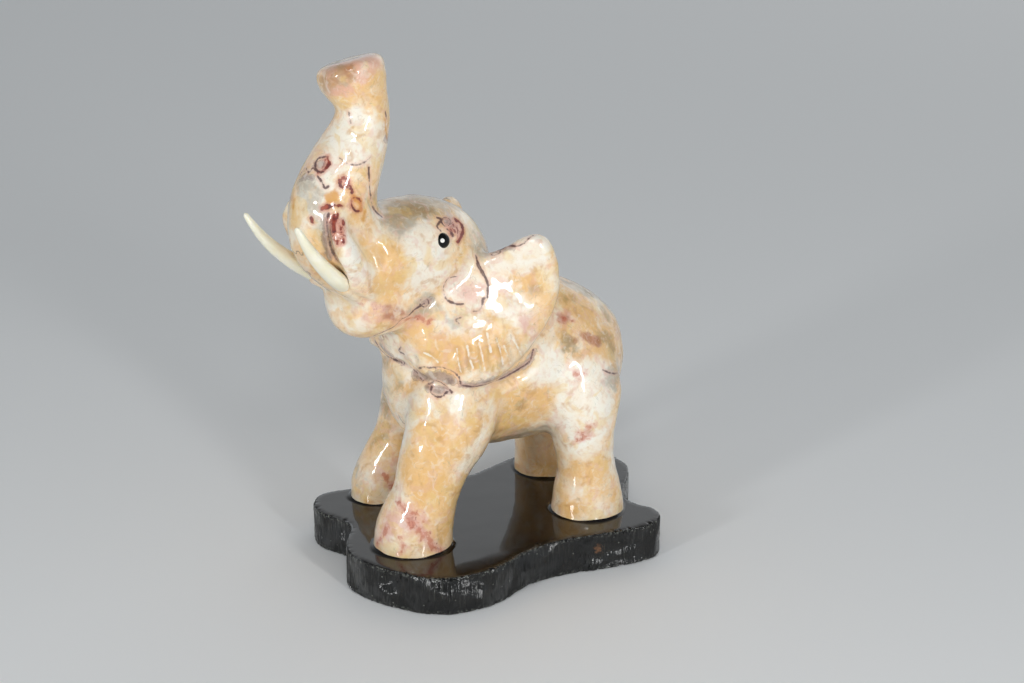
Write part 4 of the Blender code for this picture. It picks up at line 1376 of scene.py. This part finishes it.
def make_light(name, round_from_camera, height, distance, wide, tall, power):
    """A soft panel lamp aimed at the figure's middle. Its place is so many degrees to the right of the camera
    and up."""
    middle = UP * 0.045
    away = Vector((CAMERA_BACK.x, CAMERA_BACK.y, 0)).normalized()
    turn = Matrix.Rotation(math.radians(round_from_camera), 3, "Z")
    rise = math.radians(height)
    toward = (turn @ away) * math.cos(rise) + UP * math.sin(rise)
    data = bpy.data.lights.new(name, "AREA")
    data.shape = "RECTANGLE"
    data.size = wide
    data.size_y = tall
    data.energy = power
    light = shown(name, data)
    light.location = middle + toward * distance
    light.rotation_mode = "QUATERNION"
    light.rotation_quaternion = toward.to_track_quat("Z", "Y")


def make_camera(settings):
    data = bpy.data.cameras.new("camera")
    data.lens = settings.lens
    data.sensor_width = SENSOR_WIDTH
    data.clip_start = 0.01
    data.clip_end = 10
    camera = shown("camera", data)
    turn = Matrix((CAMERA_RIGHT, CAMERA_UP, CAMERA_BACK)).transposed()
    camera.matrix_world = Matrix.Translation(CAMERA_PLACE) @ turn.to_4x4()
    bpy.context.scene.camera = camera


def make_surroundings():
    """A plain pale world, brighter near the horizon than overhead."""
    world = bpy.data.worlds.new("plain pale surroundings")
    world.use_nodes = True
    around = world.node_tree
    way = add_node(around, PLACE).outputs["Generated"]
    rise = add_node(around, "ShaderNodeSeparateXYZ", None, {0: way}).outputs[2]
    glow = add_node(around, RANGE, None, {0: rise, 1: 0.15, 2: 0.75, 3: 0.8, 4: 0.25})
    background = around.nodes["Background"]
    around.links.new(glow.outputs[0], background.inputs[1])
    background.inputs[0].default_value = linear("#E3E8EC")
    return world


class FIGURINE_OT_set_stage(bpy.types.Operator):
    """Sets the plain floor, the soft studio light and the camera"""

    bl_idname = "figurine.set_stage"
    bl_label = "Set the Stage"

    def execute(self, context):
        settings = context.scene.elephant_stage
        make_camera(settings)
        make_floor(settings)
        for lamp in LAMPS:
            make_light(*lamp)
        context.scene.world = make_surroundings()
        context.scene.view_settings.view_transform = "Standard"
        return {"FINISHED"}


class FIGURINE_PT_panel(bpy.types.Panel):
    bl_label = "Marble Elephant Figurine"
    bl_space_type = "VIEW_3D"
    bl_region_type = "UI"
    bl_category = "Elephant"

    def draw(self, context):
        for operator in OPERATORS:
            self.layout.operator(operator.bl_idname)
        for name, group in SETTINGS.items():
            box = self.layout.box()
            values = getattr(context.scene, name)
            for key in group.__annotations__:
                box.prop(values, key)


OPERATORS = [
    FIGURINE_OT_carve_stone,
    FIGURINE_OT_set_tusks,
    FIGURINE_OT_set_eyes,
    FIGURINE_OT_saw_plinth,
    FIGURINE_OT_set_stage,
]
SETTINGS = {
    "elephant_stone": ElephantStoneSettings,
    "elephant_tusks": TuskSettings,
    "elephant_eyes": EyeSettings,
    "elephant_plinth": PlinthSettings,
    "elephant_stage": StageSettings,
}


def register():
    for group in list(SETTINGS.values()) + OPERATORS + [FIGURINE_PT_panel]:
        bpy.utils.register_class(group)
    for name, group in SETTINGS.items():
        setattr(bpy.types.Scene, name, PointerProperty(type=group))


def unregister():
    for name in SETTINGS:
        delattr(bpy.types.Scene, name)
    for group in [FIGURINE_PT_panel] + OPERATORS[::-1] + list(SETTINGS.values())[::-1]:
        bpy.utils.unregister_class(group)


def main():
    register()
    bpy.ops.figurine.carve_stone()
    bpy.ops.figurine.set_tusks()
    bpy.ops.figurine.set_eyes()
    bpy.ops.figurine.saw_plinth()
    bpy.ops.figurine.set_stage()


if __name__ == "__main__":
    main()
